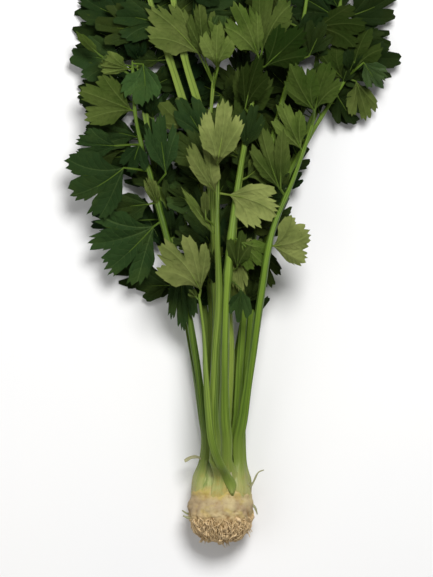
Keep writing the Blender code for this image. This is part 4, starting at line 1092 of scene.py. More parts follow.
def relief(blade, outline, angle, shares, along, off, rng):
    """How high a blade's veins, swollen fields, folded lobes and wavy edge stand on its middle surface."""
    field_share = (along - SIDE_VEIN_SLANT * off) / SIDE_VEIN_GAP
    rim = np.clip((1 - shares) * 6, 0, 1)
    ridge = RIDGE_HEIGHT * (1 - 0.7 * shares) * np.exp(-(off * blade.length / RIDGE_WIDTH) ** 2)
    quilt = QUILT_HEIGHT * np.sin(np.pi * field_share) ** 2 * np.clip(off / QUILT_FROM, 0, 1) * rim
    lobe, across = outline.across_lobe(angle)
    tilt = np.array([rng.uniform(-LOBE_TILT, LOBE_TILT) for _ in outline.borders])[lobe]
    lobes = (LOBE_FOLD * (0.5 - np.abs(across)) + tilt * (1 - across**2)) * ease(shares * 1.3)
    turned = rng.uniform(*EDGE_CURL) * shares ** 5
    height = rng.uniform(*RUFFLE_HEIGHT) * shares ** 4
    ruffle = height * np.sin(np.radians(angle) * rng.uniform(*RUFFLES) + blade.phase)
    return blade.shows * (ridge - quilt + lobes - turned) + ruffle


def shell(surface, kind_top, kind_low):
    """A thin closed skin round a grid of points: its points, its faces and the material of each."""
    rows, columns = surface.shape[:2]
    count, middle = rows * columns, columns // 2
    normal = np.cross(np.gradient(surface, axis=1), np.gradient(surface, axis=0))
    normal /= np.linalg.norm(normal, axis=2)[..., None] + 1e-9
    normal *= np.where(normal[0, middle, 2] < 0, -1.0, 1.0)
    top = surface + normal * FINE_THICKNESS / 2
    low = surface - normal * FINE_THICKNESS / 2
    upward = np.cross(top[1, middle] - top[0, middle], top[0, -1] - top[0, 0])[2] > 0
    border = np.concatenate([np.arange(columns), np.arange(1, rows) * columns + columns - 1,
                             (rows - 1) * columns + np.arange(columns - 2, -1, -1),
                             np.arange(rows - 2, 0, -1) * columns])
    following = np.roll(border, -1)
    walls = np.stack([border, following, following + count, border + count], axis=-1)
    faces = [grid_faces(rows, columns, 0, upward), grid_faces(rows, columns, count, not upward),
             walls if upward else walls[:, ::-1]]
    kinds = np.repeat([kind_top, kind_low, kind_top], [len(part) for part in faces])
    return np.concatenate([top.reshape(-1, 3), low.reshape(-1, 3)]), np.concatenate(faces), kinds


def add_blade(skin, blade, rng, fine):
    """A thin closed blade with toothed edges, ridges along its main veins and swollen fields between them."""
    outline = Outline(blade, rng, fine)
    rows = FINE_ROWS if fine else COARSE_ROWS
    shares = (np.linspace(0, 1, rows) ** 0.85 * 0.98 + 0.02)[:, None]
    angle = np.broadcast_to(outline.angles, (rows, len(outline.angles)))
    reach = shares * outline.reach
    ahead, right = blade.polar(outline.turned(angle, shares), reach * blade.length)
    surface = blade.surface(ahead.ravel(), right.ravel()).reshape(rows, -1, 3)
    along, off = outline.vein_place(angle, reach)
    surface[..., 2] += relief(blade, outline, angle, shares, along, off, rng)
    curl = blade.leaflet.curl
    if curl:
        local = np.stack([ahead, right], axis=-1)
        local, surface[..., 2] = rolled(local, surface[..., 2], curl, blade.length)
        surface[..., :2] = blade.plan(*local.reshape(-1, 2).T).reshape(rows, -1, 2)
    upper = GLOSSY if blade.tone[2] > 0.5 else UPPER
    points, faces, kinds = shell(surface, *((UNDER, upper) if blade.shows > 0 else (upper, UNDER)))
    place = np.stack(np.broadcast_arrays(along, off, shares), axis=-1).reshape(-1, 3)
    skin.add(points, faces, kinds, np.concatenate([place, place]), blade.tone)
    return outline


def add_stem(skin, blade, outline, start, fine):
    """The leaflet's own stem, out of its stalk and on into the blade as the midrib."""
    share = np.linspace(0, 1, STEM_POINTS[0 if fine else 1])
    local = blade.node_place * (1 - share[:, None])
    line = blade.surface(local[:, 0], local[:, 1])
    line += (start - line[0]) * (1 - share[:, None]) ** 2
    vein = min(outline.veins, key=abs)
    reach = np.linspace(*MIDRIB_REACH, MIDRIB_POINTS[0 if fine else 1])
    ahead, right = blade.polar(outline.turned(vein, reach), reach * blade.length)
    midrib = blade.surface(ahead, right)
    midrib[:, 2] += blade.shows * MIDRIB_OVER
    line = np.concatenate([line, midrib])
    radii = np.concatenate([STEM_RADIUS * (1.15 - 0.3 * share), STEM_RADIUS * (0.75 - 1.05 * reach)])
    tone = (*blade.tone[:2], 0)
    add_tube(skin, line, radii * blade.stem_scale, STALK, tone, STEM_SIDES, STEM_FLATNESS, STEM_ALONG)


def spine(stalk):
    """Points along a smooth curve through the stalk's stations, with how far up the stalk each is."""
    line = extended(stalk.line)
    along, made = [], []
    for k, (low, high) in enumerate(zip(stalk.stations[:-1], stalk.stations[1:])):
        count = max(2, int(round((high - low) / STALK_STEP)))
        for t in np.arange(count) / count:
            along.append(low + (high - low) * t)
            made.append(curve(*line[k:k + 4], t))
    return np.array(along + [stalk.stations[-1]]), np.array(made + [stalk.line[-1]])


def let_down(stalk, along, line, ground):
    """The line near the crown without its corners; a stalk laid over the others comes down onto them."""
    ring = stalk.frond.ring
    step = SOFT_BEND_STEP * (INNER_BEND if ring < 1 else 1.0)
    near = step * np.arange(-SOFT_BEND_REACH, SOFT_BEND_REACH + 1)
    height = line[:, 2]
    if ring > 1:
        beside = [ground.height(line[:, :2] + [step, 0]) for step in (-4, -2, 0, 2, 4)]
        resting = np.max(beside, axis=0) + stalk.half_thickness(along) + LET_DOWN_OVER * CLEARANCE
        held = ease((along - LET_DOWN_FROM) / LET_DOWN_RUN)
        height = resting * (1 - held) + height * held
    soft = np.mean([np.interp(along + step, along, height) for step in near], axis=0)
    rooted = ease((line[:, 1] - ROOTED_TO[0]) / ROOTED_TO[1]) if ring == 1 else 1.0
    bent = rooted * (1 - ease((along - BENDS_TO[0]) / BENDS_TO[1]))
    line[:, 2] = height * (1 - bent) + soft * bent
    return line


def ribbed_section():
    """Shares of half width and half thickness round a stalk: ribs outside, a shallow channel inside."""
    s = np.linspace(-1, 1, OUTER_POINTS)
    outer = -0.5 + 1.5 * np.sqrt(np.clip(1 - np.abs(s) ** 2.3, 0, 1))
    outer += RIB_HEIGHT * np.cos(np.pi * RIBS * s) * (1 - s**2)
    t = np.linspace(1, -1, INNER_POINTS + 2)[1:-1]
    inner = -0.62 + 0.30 * (1 - t**2)
    return np.concatenate([s, t * 0.97]), np.concatenate([outer, inner])


def laid_sheath(points, across, out, y):
    """Opens the foot of the stalk that lies over the others, and sinks it to a point in the bulb's skin."""
    heights, middles, halves = np.array(LAID_SHEATH).T
    opened = float(ease((heights[-1] - y) / LAID_SHEATH_RUN))
    end = float(ease((LAID_SHEATH_END - y) / 6))
    x = np.interp(y, heights, middles) + across * np.interp(y, heights, halves)
    skin = sheath_ground(y, [math.acos(v / 30) for v in x])
    lying = skin + (1 - end) * (0.8 + 1.4 * (1 - across**2) * np.clip(out + 0.5, 0, 1.2)) - 1.8 * end
    lying += 5.5 * float(ease((y - 23) / 12))
    lying -= np.where(out < -0.2, SHEATH_INSIDE, 0.0)
    flat = np.column_stack([x, np.full(len(x), y), BULB_AXIS_HEIGHT + np.sqrt(lying**2 - x**2)])
    return points * (1 - opened) + flat * opened


def sheath_radius(y):
    """How far the outsides of the sheaths stand from the axis."""
    return max(float(profile_at(SHEATH_PROFILE, y)), bulb_radius(y))


def sheath_ground(y, turns):
    """How far from the axis the sheaths lie on the bulb, at each of the angles."""
    return sheath_radius(y) + np.array([bulb_bumps(y, turn) for turn in turns])


def in_sheath(points, across, out, frond):
    """Below the neck, moves a section's points down to the bulb, as a broad sheath that ends in its skin."""
    y = points[:, 1].mean()
    if y > SHEATH_TOP or frond.ring < 1:
        return points
    if frond.ring > 1:
        return laid_sheath(points, across, out, y)
    spread = 1 + SHEATH_WIDENS * float(ease((SHEATH_SPREADS[0] - y) / SHEATH_SPREADS[1]))
    free = float(ease((y - SHEATH_FREE[0]) / SHEATH_FREE[1]))
    radial = points[:, [0, 2]] - np.array([0, BULB_AXIS_HEIGHT])
    radius = np.linalg.norm(radial, axis=1)
    turn = np.arctan2(radial[:, 1], radial[:, 0])
    middle = math.radians(frond.clock)
    away = (turn - middle + np.pi) % (2 * np.pi) - np.pi
    turn = middle + away * spread
    foot = SHEATH_FOOT + SHEATH_POINT * np.abs(across) ** 1.5 + 5.0 * math.sin(3.0 * frond.clock)
    spots = [Vector((5 * math.cos(t), 5 * math.sin(t), frond.clock)) for t in turn]
    foot = foot + np.array([9 * noise.noise(spot) for spot in spots])
    rising = ease((y - foot) / SHEATH_END_RUN)
    ends = 1.5 * rising - 1.1
    hugging = sheath_ground(y, turn) + 0.5 * math.sin(5.0 * frond.clock)
    hugging += ends + 0.8 * (1 - across**2) * np.clip(out + 0.5, 0, 1.2) * rising
    hugging -= np.where(out < -0.2, SHEATH_INSIDE, 0.0)
    radius = free * radius + (1 - free) * hugging
    return np.column_stack([radius * np.cos(turn), points[:, 1], BULB_AXIS_HEIGHT + radius * np.sin(turn)])


def add_stalk(skin, frond, stalk, along, line, nodes):
    """The ribbed stalk, swollen a little where its leaflets leave it."""
    across, out = ribbed_section()
    rings, places = [], []
    for s, middle, direction in zip(along, line, headings(line)):
        outward = stalk.out(s)
        outward = unit(outward - direction * outward.dot(direction))
        side = np.cross(direction, outward)
        swelling = 1 + NODE_SWELLING * sum(math.exp(-(((s - node) / NODE_RUN) ** 2)) for node in nodes)
        stout = 1 + (frond.stout - 1) * float(ease((s - frond.stout_from) / STOUT_RUN))
        ending = 1 - STALK_TAPER * float(ease((s - along[-1] + STALK_END_RUN) / STALK_END_RUN))
        width = stalk.half_width(s) * min(swelling, 1 + MOST_SWELLING * NODE_SWELLING) * stout * ending
        points = middle + np.outer(across * width, side) + np.outer(out * width * STALK_FLATNESS, outward)
        rings.append(in_sheath(points, across, out, frond))
        places.append(np.column_stack([across, np.full(len(across), s), out]))
    faces = ring_faces(len(rings), len(across))
    skin.add(np.concatenate(rings), faces, STALK, np.concatenate(places), frond.stalk_tone)


def bulb_radius(y):
    """Radius of the bulb at a distance up its axis, with the profile's corners rounded off."""
    return float(np.mean(profile_at(FINE_PROFILE, y + np.linspace(-2, 2, 5))))


def noise_round(angle, reach, height):
    """Noise that comes back to itself after a whole turn."""
    return noise.noise(Vector((reach * math.cos(angle), height, reach * math.sin(angle))))


def bulb_bumps(y, angle):
    """Shallow lobes, and the rings that old leaf feet leave on the shoulder."""
    lobes = 0.7 * math.sin(3 * angle + 0.6) + 0.5 * math.sin(5 * angle + y / 9)
    lobes += 1.8 * noise_round(angle, 1.4, y / 14)
    on_shoulder = math.exp(-(((y - 12) / 11) ** 2))
    waves = math.sin(2 * math.pi * SCAR_RINGS * (y + 4) / 34 + 1.6 * math.sin(angle * 2 + 1))
    rings = SCAR_HEIGHT * waves * on_shoulder
    folds = 0.9 * abs(math.sin(4.5 * angle + 0.4 * math.sin(2 * angle))) * float(ease((y - 14) / 14))
    return (lobes + rings) * min(1.0, (42 - y) / 20, (y + 33) / 12) * (y < 42) - folds


def skin_relief(y, angle):
    """Root bosses and creases below, fine broken scar lines above."""
    spot = Vector((3.2 * math.cos(angle), y / 10, 3.2 * math.sin(angle)))
    below = 1 / (1 + math.exp((y + 3) / 3))
    above = math.exp(-(((y - 11) / 9) ** 2))
    lumps = noise.noise(spot * 2.1) * (0.7 + 1.5 * below) + noise.noise(spot * 4.7) * (0.25 + 0.9 * below)
    wander = 1.6 * noise.noise(spot * 1.1)
    lines = math.sin(2.1 * (y + wander)) * (0.5 + 0.5 * noise.noise(spot * 2.6))
    pits = -0.5 * max(0.0, noise.noise(spot * 9.0) - 0.35)
    return lumps + 0.22 * above * lines + pits


def make_bulb(skin_material):
    """The bulb's skin, finer than the CAD node and in its place."""
    skin = Skin()
    points, place = [], []
    for row in range(BULB_ROWS):
        y = BULB_END + (NECK_TOP - BULB_END) * 0.5 * (1 - math.cos(math.pi * row / (BULB_ROWS - 1)))
        fade = min(1.0, (row + 0.5) / BULB_ENDS, (BULB_ROWS - row - 0.5) / BULB_ENDS)
        for k in range(BULB_COLUMNS):
            angle = 2 * math.pi * k / BULB_COLUMNS
            rough = skin_relief(y, angle)
            radius = bulb_radius(y) + bulb_bumps(y, angle) + rough * fade
            z = BULB_AXIS_HEIGHT + radius * math.sin(angle)
            points.append((radius * math.cos(angle), y, max(z, 0.0)))
            place.append((y, angle, rough))
    skin.add(points, ring_faces(BULB_ROWS, BULB_COLUMNS), 0, place, (0, 0, 0))
    skin.piece("celeriac_bulb", [skin_material], "bulb", 180)


def mat_radius(y, turn):
    """How far the mat of roots stands out from the bulb's axis. It is lumpy."""
    lumps = 1 + 0.14 * noise_round(turn, 2.3, y / 9)
    return MAT_ACROSS * lumps * math.sqrt(max(0.0, 1 - ((y - MAT_MIDDLE) / MAT_DOWN) ** 2))


def root_path(rng, y, turn, length, wildness):
    """The line of one short root: out of the skin, then wandering down within the mat."""
    axis = np.array([0.0, 0.0, BULB_AXIS_HEIGHT])
    outward = np.array([math.cos(turn), 0, math.sin(turn)])
    point = axis + outward * (bulb_radius(y) - ROOT_DEPTH) + np.array([0, y, 0])
    way = outward * rng.uniform(*ROOT_OUT)
    way = way + np.array([rng.uniform(-ROOT_ASIDE, ROOT_ASIDE), -rng.uniform(*ROOT_DOWN), 0])
    points = [point]
    for _ in range(max(4, int(length / ROOT_STEP))):
        way = unit(way + wildness * np.array([rng.gauss(0, 1), rng.gauss(0, 1), rng.gauss(0, 1)]))
        way = unit(way + np.array([0, -ROOT_SINK, 0]))
        point = point + way * ROOT_STEP
        away = point[[0, 2]] - axis[[0, 2]]
        radius = max(float(np.linalg.norm(away)), 0.5)
        most = max(mat_radius(point[1], math.atan2(away[1], away[0])), 1.5) + 1.2
        kept = min(max(radius, bulb_radius(point[1]) + 0.2), most)
        point[[0, 2]] = axis[[0, 2]] + away * kept / radius
        tuft = noise.noise(Vector((point[0] / 5.5, 3.0, point[2] / 16)))
        point[1] = max(point[1], MAT_MIDDLE - MAT_DOWN * min(1.04, 0.90 + 0.34 * tuft))
        point[2] = max(point[2], LOWEST_ROOT)
        points.append(point.copy())
    return smooth_path(points[::2] if len(points) > 6 else points, ROOT_POINT_GAP)


def add_tuft(skin, rng, tip):
    """A bundle of roots that stands out past the others."""
    start = tip * TUFT_START[0] + TUFT_START[1]
    share = np.linspace(0, 1, TUFT_POINTS)[:, None]
    for _ in range(TUFT_STRANDS):
        spread = np.array([rng.gauss(0, TUFT_SPREAD) for _ in range(3)])
        bow = np.array([rng.gauss(0, TUFT_BOW), 0, rng.gauss(0, TUFT_BOW)])
        line = start + (tip - start + spread) * share + bow * np.sin(math.pi * share) + 0.6 * spread
        add_tube(skin, line, TUFT_RADII[0] - TUFT_RADII[1] * share[:, 0], 0, (rng.random(), 1, 0), 6)


def make_roots(root_material):
    """The mat of short roots over the lower third, thick ones first and then fine ones between them."""
    skin = Skin()
    rng = random.Random("roots")
    for kind, (count, radius, lengths, wildness, sides) in enumerate(ROOT_KINDS):
        for k in range(count):
            share = (k + 0.5) / count
            y = ROOTS_FROM + (ROOTS_TO - ROOTS_FROM) * share ** 0.8 + rng.uniform(-ROOT_SHIFT, ROOT_SHIFT)
            turn = k * math.pi * GOLDEN_TURN + rng.uniform(-ROOT_TURN, ROOT_TURN)
            line = root_path(rng, y, turn, rng.uniform(*lengths), wildness)
            size = radius * rng.uniform(*ROOT_SIZES)
            along = np.linspace(0, 1, len(line))
            knots = 1 + 0.13 * np.sin(along * rng.uniform(12, 30) + k)
            radii = size * (1 - ROOT_TAPER * along**1.6) * knots
            radii = np.minimum(radii, line[:, 2] - 0.05)
            add_tube(skin, line, radii, 0, (rng.random(), kind, 0), sides)
    for tuft in ROOT_TUFTS:
        add_tuft(skin, rng, np.array(tuft))
    skin.piece("celeriac_roots", [root_material], None, 180)


def make_loose_strands(material):
    """The longer strands and torn sheaths that stand out of the outline."""
    skin = Skin()
    for number, (line, widths, flatness) in enumerate(LOOSE_STRANDS):
        path = smooth_path([np.array(p, float) for p in line], 1.2)
        share = np.linspace(0, 1, len(path))
        radii = np.interp(share, np.linspace(0, 1, len(widths)), widths)
        wrinkle = 1 + 0.12 * np.sin(share * 19 + number)
        add_tube(skin, path, radii * wrinkle, 0, (number / len(LOOSE_STRANDS), 0, 0), 8, flatness)
    skin.piece("dry_strands", [material], None, 60)


class Finish:
    """A Principled material and short ways to build what feeds it."""

    def __init__(self, name):
        roughness, specular, self.depth = SURFACES[name]
        self.material = bpy.data.materials.new(name)
        self.material.use_nodes = True
        self.tree = self.material.node_tree
        self.shader = self.tree.nodes["Principled BSDF"]
        self.shader.inputs["Roughness"].default_value = roughness
        self.shader.inputs["Specular IOR Level"].default_value = specular

    def put(self, socket, value):
        if isinstance(value, bpy.types.NodeSocket):
            self.tree.links.new(value, socket)
        else:
            socket.default_value = value

    def node(self, kind, inputs=(), **settings):
        made = self.tree.nodes.new(kind)
        for key, value in settings.items():
            setattr(made, key, value)
        for key, value in dict(inputs).items():
            self.put(made.inputs[key], value)
        return made

    def sum(self, operation, *values):
        return self.node("ShaderNodeMath", enumerate(values), operation=operation).outputs[0]

    def times(self, *values):
        return self.sum("MULTIPLY", *values)

    def minus(self, *values):
        return self.sum("SUBTRACT", *values)

    def joined(self, operation, *pairs):
        """Values, each times its weight, brought together by one operation."""
        made = None
        for value, weight in pairs:
            part = self.times(value, weight)
            made = part if made is None else self.sum(operation, made, part)
        return made

    def ramp(self, value, low, high, to_low=0.0, to_high=1.0):
        """A smooth step from to_low at low to to_high at high."""
        settings = {0: value, 1: low, 2: high, 3: to_low, 4: to_high}
        return self.node("ShaderNodeMapRange", settings, interpolation_type="SMOOTHSTEP").outputs[0]

    def attribute(self, name):
        """An attribute and its three numbers."""
        vector = self.node("ShaderNodeAttribute", attribute_name=name).outputs["Vector"]
        return vector, *self.node("ShaderNodeSeparateXYZ", {0: vector}).outputs

    def colour(self, share, first, second):
        ends = [end if isinstance(end, bpy.types.NodeSocket) else (*end, 1.0) for end in (first, second)]
        return self.node("ShaderNodeMix", {0: share, 6: ends[0], 7: ends[1]}, data_type="RGBA").outputs[2]

    def speckle(self, scale, detail=2.0, vector=None, roughness=0.5):
        """Noise from 0 to 1 over the piece, or over the vector given."""
        vector = vector or self.node("ShaderNodeTexCoord").outputs["Object"]
        settings = {"Vector": vector, "Scale": scale, "Detail": detail, "Roughness": roughness}
        return self.node("ShaderNodeTexNoise", settings).outputs["Fac"]

    def fibres(self, across, along, third, scales, detail, roughness):
        """Noise drawn out along a piece."""
        place = {0: self.times(across, scales[0]), 1: self.times(along, scales[1]), 2: third}
        return self.speckle(1.0, detail, self.node("ShaderNodeCombineXYZ", place).outputs[0], roughness)

    def done(self, colour, height=None):
        """The material, with its colour and the height of its relief."""
        self.put(self.shader.inputs["Base Color"], colour)
        if height is not None:
            settings = {"Height": height, "Distance": self.depth, "Strength": 1.0}
            self.put(self.shader.inputs["Normal"], self.node("ShaderNodeBump", settings).outputs[0])
        return self.material


def veins_of(finish):
    """How near each point is to a main, a side or a net vein, from 0 to 1, and where it is on its blade."""
    vector, along, off, share = finish.attribute("place")
    width = finish.ramp(share, 0.0, 1.0, 0.020, 0.006)
    main = finish.minus(1.0, finish.ramp(finish.sum("DIVIDE", off, width), 0.35, 1.0))
    slanted = finish.minus(along, finish.times(off, SIDE_VEIN_SLANT))
    across = finish.sum("PINGPONG", finish.sum("DIVIDE", slanted, SIDE_VEIN_GAP), 0.5)
    side = finish.minus(1.0, finish.ramp(across, 0.02, 0.10))
    side = finish.times(side, finish.ramp(share, 0.55, 1.0, 1.0, 0.35))
    cells = {"Vector": vector, "Scale": NET_SCALE}
    net = finish.node("ShaderNodeTexVoronoi", cells, feature="DISTANCE_TO_EDGE")
    net = finish.minus(1.0, finish.ramp(net.outputs["Distance"], 0.0, 0.12))
    return (main, side, net), share


def mottled(finish, light, hue, share, colours):
    """The ground colour of a leaf side: patchy, and a little darker towards the foot, which is painted shade.
    """
    broad = finish.ramp(finish.speckle(34.0, 3.0), 0.32, 0.68)
    small = finish.ramp(finish.speckle(170.0, 3.0), 0.30, 0.70)
    # Painted shade: the mix is held lower towards the leaf's foot, so the foot comes out darker.
    paler = finish.ramp(share, 0.1, 1.0, 0.44, 0.66)
    mixing = finish.joined("ADD", (broad, 0.38), (small, 0.14), (paler, 1.0))
    hue = finish.sum("ADD", hue, finish.ramp(broad, 0.0, 1.0, -0.12, 0.12))
    dark, bright = finish.colour(hue, *colours[:2]), finish.colour(hue, *colours[2:])
    return finish.colour(finish.times(mixing, light), dark, bright)


def leaf_side(name, colours, vein_colour, shown, heights):
    """One side of a leaflet, with how much its veins show and how high they and the unevenness are."""
    finish = Finish(name)
    veins, share = veins_of(finish)
    _, light, hue, _ = finish.attribute("tone")
    ground = mottled(finish, light, hue, share, colours)
    lines = finish.joined("MAXIMUM", *zip(veins, shown))
    lines = finish.times(lines, finish.ramp(light, 0.0, 0.45, 0.30, 1.0))
    height = finish.joined("ADD", *zip((*veins[1:], finish.speckle(UNEVEN_SCALE, 1.0)), heights))
    return finish.done(finish.colour(lines, ground, vein_colour), height)


def leaf_upper(name):
    """The upper side of a leaflet: dark, with sunken pale veins."""
    colours = (LEAF_TEAL, LEAF_OLIVE, LEAF_TEAL_LIGHT, LEAF_OLIVE_LIGHT)
    return leaf_side(name, colours, LEAF_VEIN, UPPER_VEINS, UPPER_RELIEF)


def leaf_under():
    """The underside of a leaflet: pale and matte, with raised veins."""
    colours = (UNDER_GREEN, UNDER_OLIVE, UNDER_GREEN_LIGHT, UNDER_OLIVE_LIGHT)
    return leaf_side("leaf_underside", colours, UNDER_VEIN, UNDER_VEINS, UNDER_RELIEF)


def stalk_finish():
    """Ribbed stalks: cream at the crown, then yellow green, then green, with paler ribs."""
    finish = Finish("stalk_skin")
    _, across, along, out = finish.attribute("place")
    _, light, hue, green_foot = finish.attribute("tone")
    streaks = finish.ramp(finish.fibres(across, along, out, STALK_FIBRES, 3.0, 0.6), 0.32, 0.68)
    bands = finish.ramp(finish.fibres(across, along, light, STALK_BANDS, 2.0, 0.5), 0.34, 0.66)
    ribs = finish.sum("PINGPONG", finish.times(finish.sum("ADD", across, 1.0), RIBS / 2), 0.5)
    ribs = finish.ramp(ribs, 0.0, 0.5, 1.0, 0.0)
    mixing = finish.minus(finish.joined("ADD", (light, 0.50), (streaks, 0.46), (bands, 0.70)), 0.32)
    # Painted shade: each stalk is made darker towards its edges.
    mixing = finish.minus(mixing, finish.ramp(finish.sum("ABSOLUTE", across), 0.50, 1.0, 0.0, 0.40))
    ground = finish.colour(mixing, finish.colour(hue, STALK_GREEN, STALK_YELLOW),
                           finish.colour(hue, STALK_GREEN_LIGHT, STALK_YELLOW_LIGHT))
    ground = finish.colour(finish.times(finish.times(ribs, streaks), 0.5), ground, STALK_RIB)
    wander = finish.joined("ADD", (along, 1.0), (streaks, 12.0), (green_foot, 46.0))
    ground = finish.colour(finish.ramp(wander, 34.0, 104.0), SHEATH_GREEN, ground)
    stained = finish.ramp(finish.speckle(70.0, 3.0, None, 0.6), 0.48, 0.62)
    foot = finish.colour(finish.times(stained, 0.8), SHEATH_CREAM, SHEATH_OCHRE)
    colour = finish.colour(finish.ramp(wander, 14.0, 52.0), foot, ground)
    return finish.done(colour, finish.joined("ADD", (ribs, 0.6), (streaks, 0.4)))


def bulb_finish():
    """Cream skin that turns ochre and green towards the crown and brown among the roots."""
    finish = Finish("bulb_skin")
    _, height, angle, rough = finish.attribute("place")
    coarse = finish.speckle(55.0, 4.0, None, 0.6)
    fine = finish.speckle(260.0, 4.0, None, 0.65)
    blotches = finish.ramp(finish.speckle(95.0, 3.0, None, 0.6), 0.52, 0.66)
    streaks = finish.ramp(finish.fibres(angle, height, 0.0, NECK_FIBRES, 3.0, 0.6), 0.34, 0.66)
    wander = finish.joined("ADD", (height, 1.0), (finish.minus(coarse, 0.5), 26.0))
    band = finish.times(finish.ramp(wander, 7.0, 17.0), finish.ramp(coarse, 0.38, 0.58, 0.25, 1.0))
    ground = BULB_CREAM
    for share, laid_over in (
        (finish.ramp(coarse, 0.40, 0.66), BULB_ROSY_AND_SHADE),
        # Painted shade: from the top towards the left side (angle 1.5 to 2.7) and on round below, the bulb
        # turns to the darker rosy colour.
        (finish.ramp(angle, 1.5, 2.7, 0.0, 0.85), BULB_ROSY_AND_SHADE),
        (finish.times(blotches, 0.55), BULB_OCHRE),
        (band, BULB_OCHRE),
        (finish.ramp(wander, 16.0, 27.0), finish.colour(streaks, NECK_GREEN, NECK_PALE)),
        (finish.ramp(height, 33.0, 48.0), STALK_GREEN),
        (finish.ramp(wander, -3.0, -13.0), BULB_TAN),
        (finish.times(finish.ramp(rough, 0.1, -1.3), 0.75), BULB_BROWN),
        (finish.times(finish.ramp(fine, 0.56, 0.70), 0.5), BULB_BROWN),
    ):
        ground = finish.colour(share, ground, laid_over)
    return finish.done(ground, finish.joined("ADD", (fine, 0.6), (coarse, 0.5)))


def root_finish():
    """Tan roots, each a little lighter or darker, pale towards their tips."""
    finish = Finish("root_skin")
    _, _, along, _ = finish.attribute("place")
    _, light, _, _ = finish.attribute("tone")
    fine = finish.speckle(320.0, 3.0)
    ground = finish.colour(light, ROOT_BROWN, ROOT_TAN)
    ground = finish.colour(finish.times(finish.ramp(along, 5.0, 20.0), 0.6), ground, ROOT_PALE)
    return finish.done(finish.colour(finish.ramp(fine, 0.50, 0.70, 0.0, 0.40), ground, ROOT_DARK), fine)


def dry_finish():
    """Withered sheaths and strands: grey green to brown, matte, with fine streaks."""
    finish = Finish("dry_sheath")
    _, across, along, _ = finish.attribute("place")
    _, which, _, _ = finish.attribute("tone")
    streaks = finish.fibres(across, along, 0.0, DRY_FIBRES, 3.0, 0.5)
    ground = finish.colour(which, DRY_GREEN, DRY_TAN)
    return finish.done(finish.colour(finish.ramp(streaks, 0.4, 0.65, 0.0, 0.6), ground, DRY_BROWN), streaks)


def widened(mask, reach):
    """The mask grown by reach cells to all sides."""
    for axis in (0, 1):
        grown = mask.copy()
        for step in range(1, reach + 1):
            grown |= np.roll(mask, step, axis) | np.roll(mask, -step, axis)
        mask = grown
    return mask


def covered_ground(all_fronds):
    """Lays every frond as the CAD model has it. Returns the pile, the stalks and each frond's ceiling."""
    pile = Pile()
    stalks, added = [], []
    for layer, frond in enumerate(all_fronds):
        rng = random.Random(frond.name)
        before = pile.top.copy()
        stalks.append(Stalk(frond, layer, pile))
        for leaflet in frond.leaflets:
            Blade(leaflet, stalks[-1], pile, rng)
        added.append(np.where(pile.top > before, pile.top - BLADE_THICKNESS, OPEN_SKY))
    ceilings = [np.full(pile.top.shape, OPEN_SKY)]
    for layer in added[:0:-1]:
        ceilings.append(np.minimum(ceilings[-1], layer))
    return pile, stalks, ceilings[::-1]


def sticks_out(blade, ceiling, pile):
    """Whether a small leaflet would come through what lies over it."""
    points = blade.surface(*blade.samples(*CHECK_SAMPLES))
    index = pile.cells(points[:, :2])
    through = points[:, 2] + FINE_THICKNESS > ceiling[index[:, 0], index[:, 1]]
    return through.mean() > STICKING_SHARE or points[:, 2].max() > SMALL_HIGHEST


def hangs_far(blade, stalk):
    """Whether a small leaflet would hang far below its stalk or climb steeply."""
    heights = blade.surface(*blade.samples(*SPARSE_SAMPLES))[:, 2]
    stalk_height = stalk.at(stalk.node_for(blade.foot, blade.ahead))[2]
    return stalk_height - np.median(heights) > SMALL_DROP or np.ptp(heights) > SMALL_CLIMB


def small_leaflet(rng, pile, inside, node, spot):
    """A small leaflet from a stalk over a spot, with its tip still within the plant's outline, or None."""
    way = spot - node
    distance = float(np.linalg.norm(way))
    way = way / max(distance, 0.1)
    for past in PAST_SPOT:
        tip = spot + way * past
        cell = pile.cells(tip[None])[0]
        if inside[cell[0], cell[1]]:
            length = min(max(SMALL_LENGTH * (distance + past), FILLER_LENGTH[0]), FILLER_LENGTH[1])
            width = length * rng.uniform(*SMALL_WIDTHS)
            return Leaflet(tuple(tip - way * length), tuple(tip), width, UPPER_SIDE)
    return None


def left_open(spot, layer):
    """Whether a spot is where the floor, stems or a front leaf show, which small leaflets leave open."""
    places = OPEN_PLACES + (CLEAR_PLACES if layer >= CLEAR_FROM else [])
    return any(math.hypot(spot[0] - x, spot[1] - y) < reach for x, y, reach in places)


def unfit(node, spot):
    """How badly a node suits a spot: the best are a short way off, and not above it."""
    return abs(np.linalg.norm(node - spot) - NODE_AWAY) + NODE_ABOVE * max(0, node[1] - spot[1])


def close_gaps(all_fronds, stalks, pile, covered, inside, rng):
    """Small leaflets over the gaps that the CAD leaflets leave within the outline."""
    x, y = np.meshgrid(*(np.arange(n) * CELL for n in covered.shape), indexing="ij")
    x, y = x + pile.corner[0], y + pile.corner[1]
    gaps = inside & ~covered & (y > FILL_ABOVE)
    nodes = [(layer, stalk.at(s)[:2]) for layer, stalk in enumerate(stalks[:FILLING_LAYERS])
             for s in np.arange(NODES_FROM, stalk.length - 4, NODE_STEP)]
    for _ in range(FILLERS):
        spots = np.argwhere(gaps)
        if len(spots) < FEWEST_CELLS:
            break
        i, j = spots[rng.randrange(len(spots))]
        spot = np.array([x[i, j], y[i, j]])
        layer, node = min(nodes, key=lambda place: unfit(place[1], spot))
        made = small_leaflet(rng, pile, inside, node, spot)
        gaps[i, j] = False
        if made and not left_open(spot, 0):
            all_fronds[layer].more.append(made)
            middle = (np.array(made.foot) + 2 * np.array(made.tip)) / 3
            gaps &= np.hypot(x - middle[0], y - middle[1]) > FILLER_COVERS * made.width


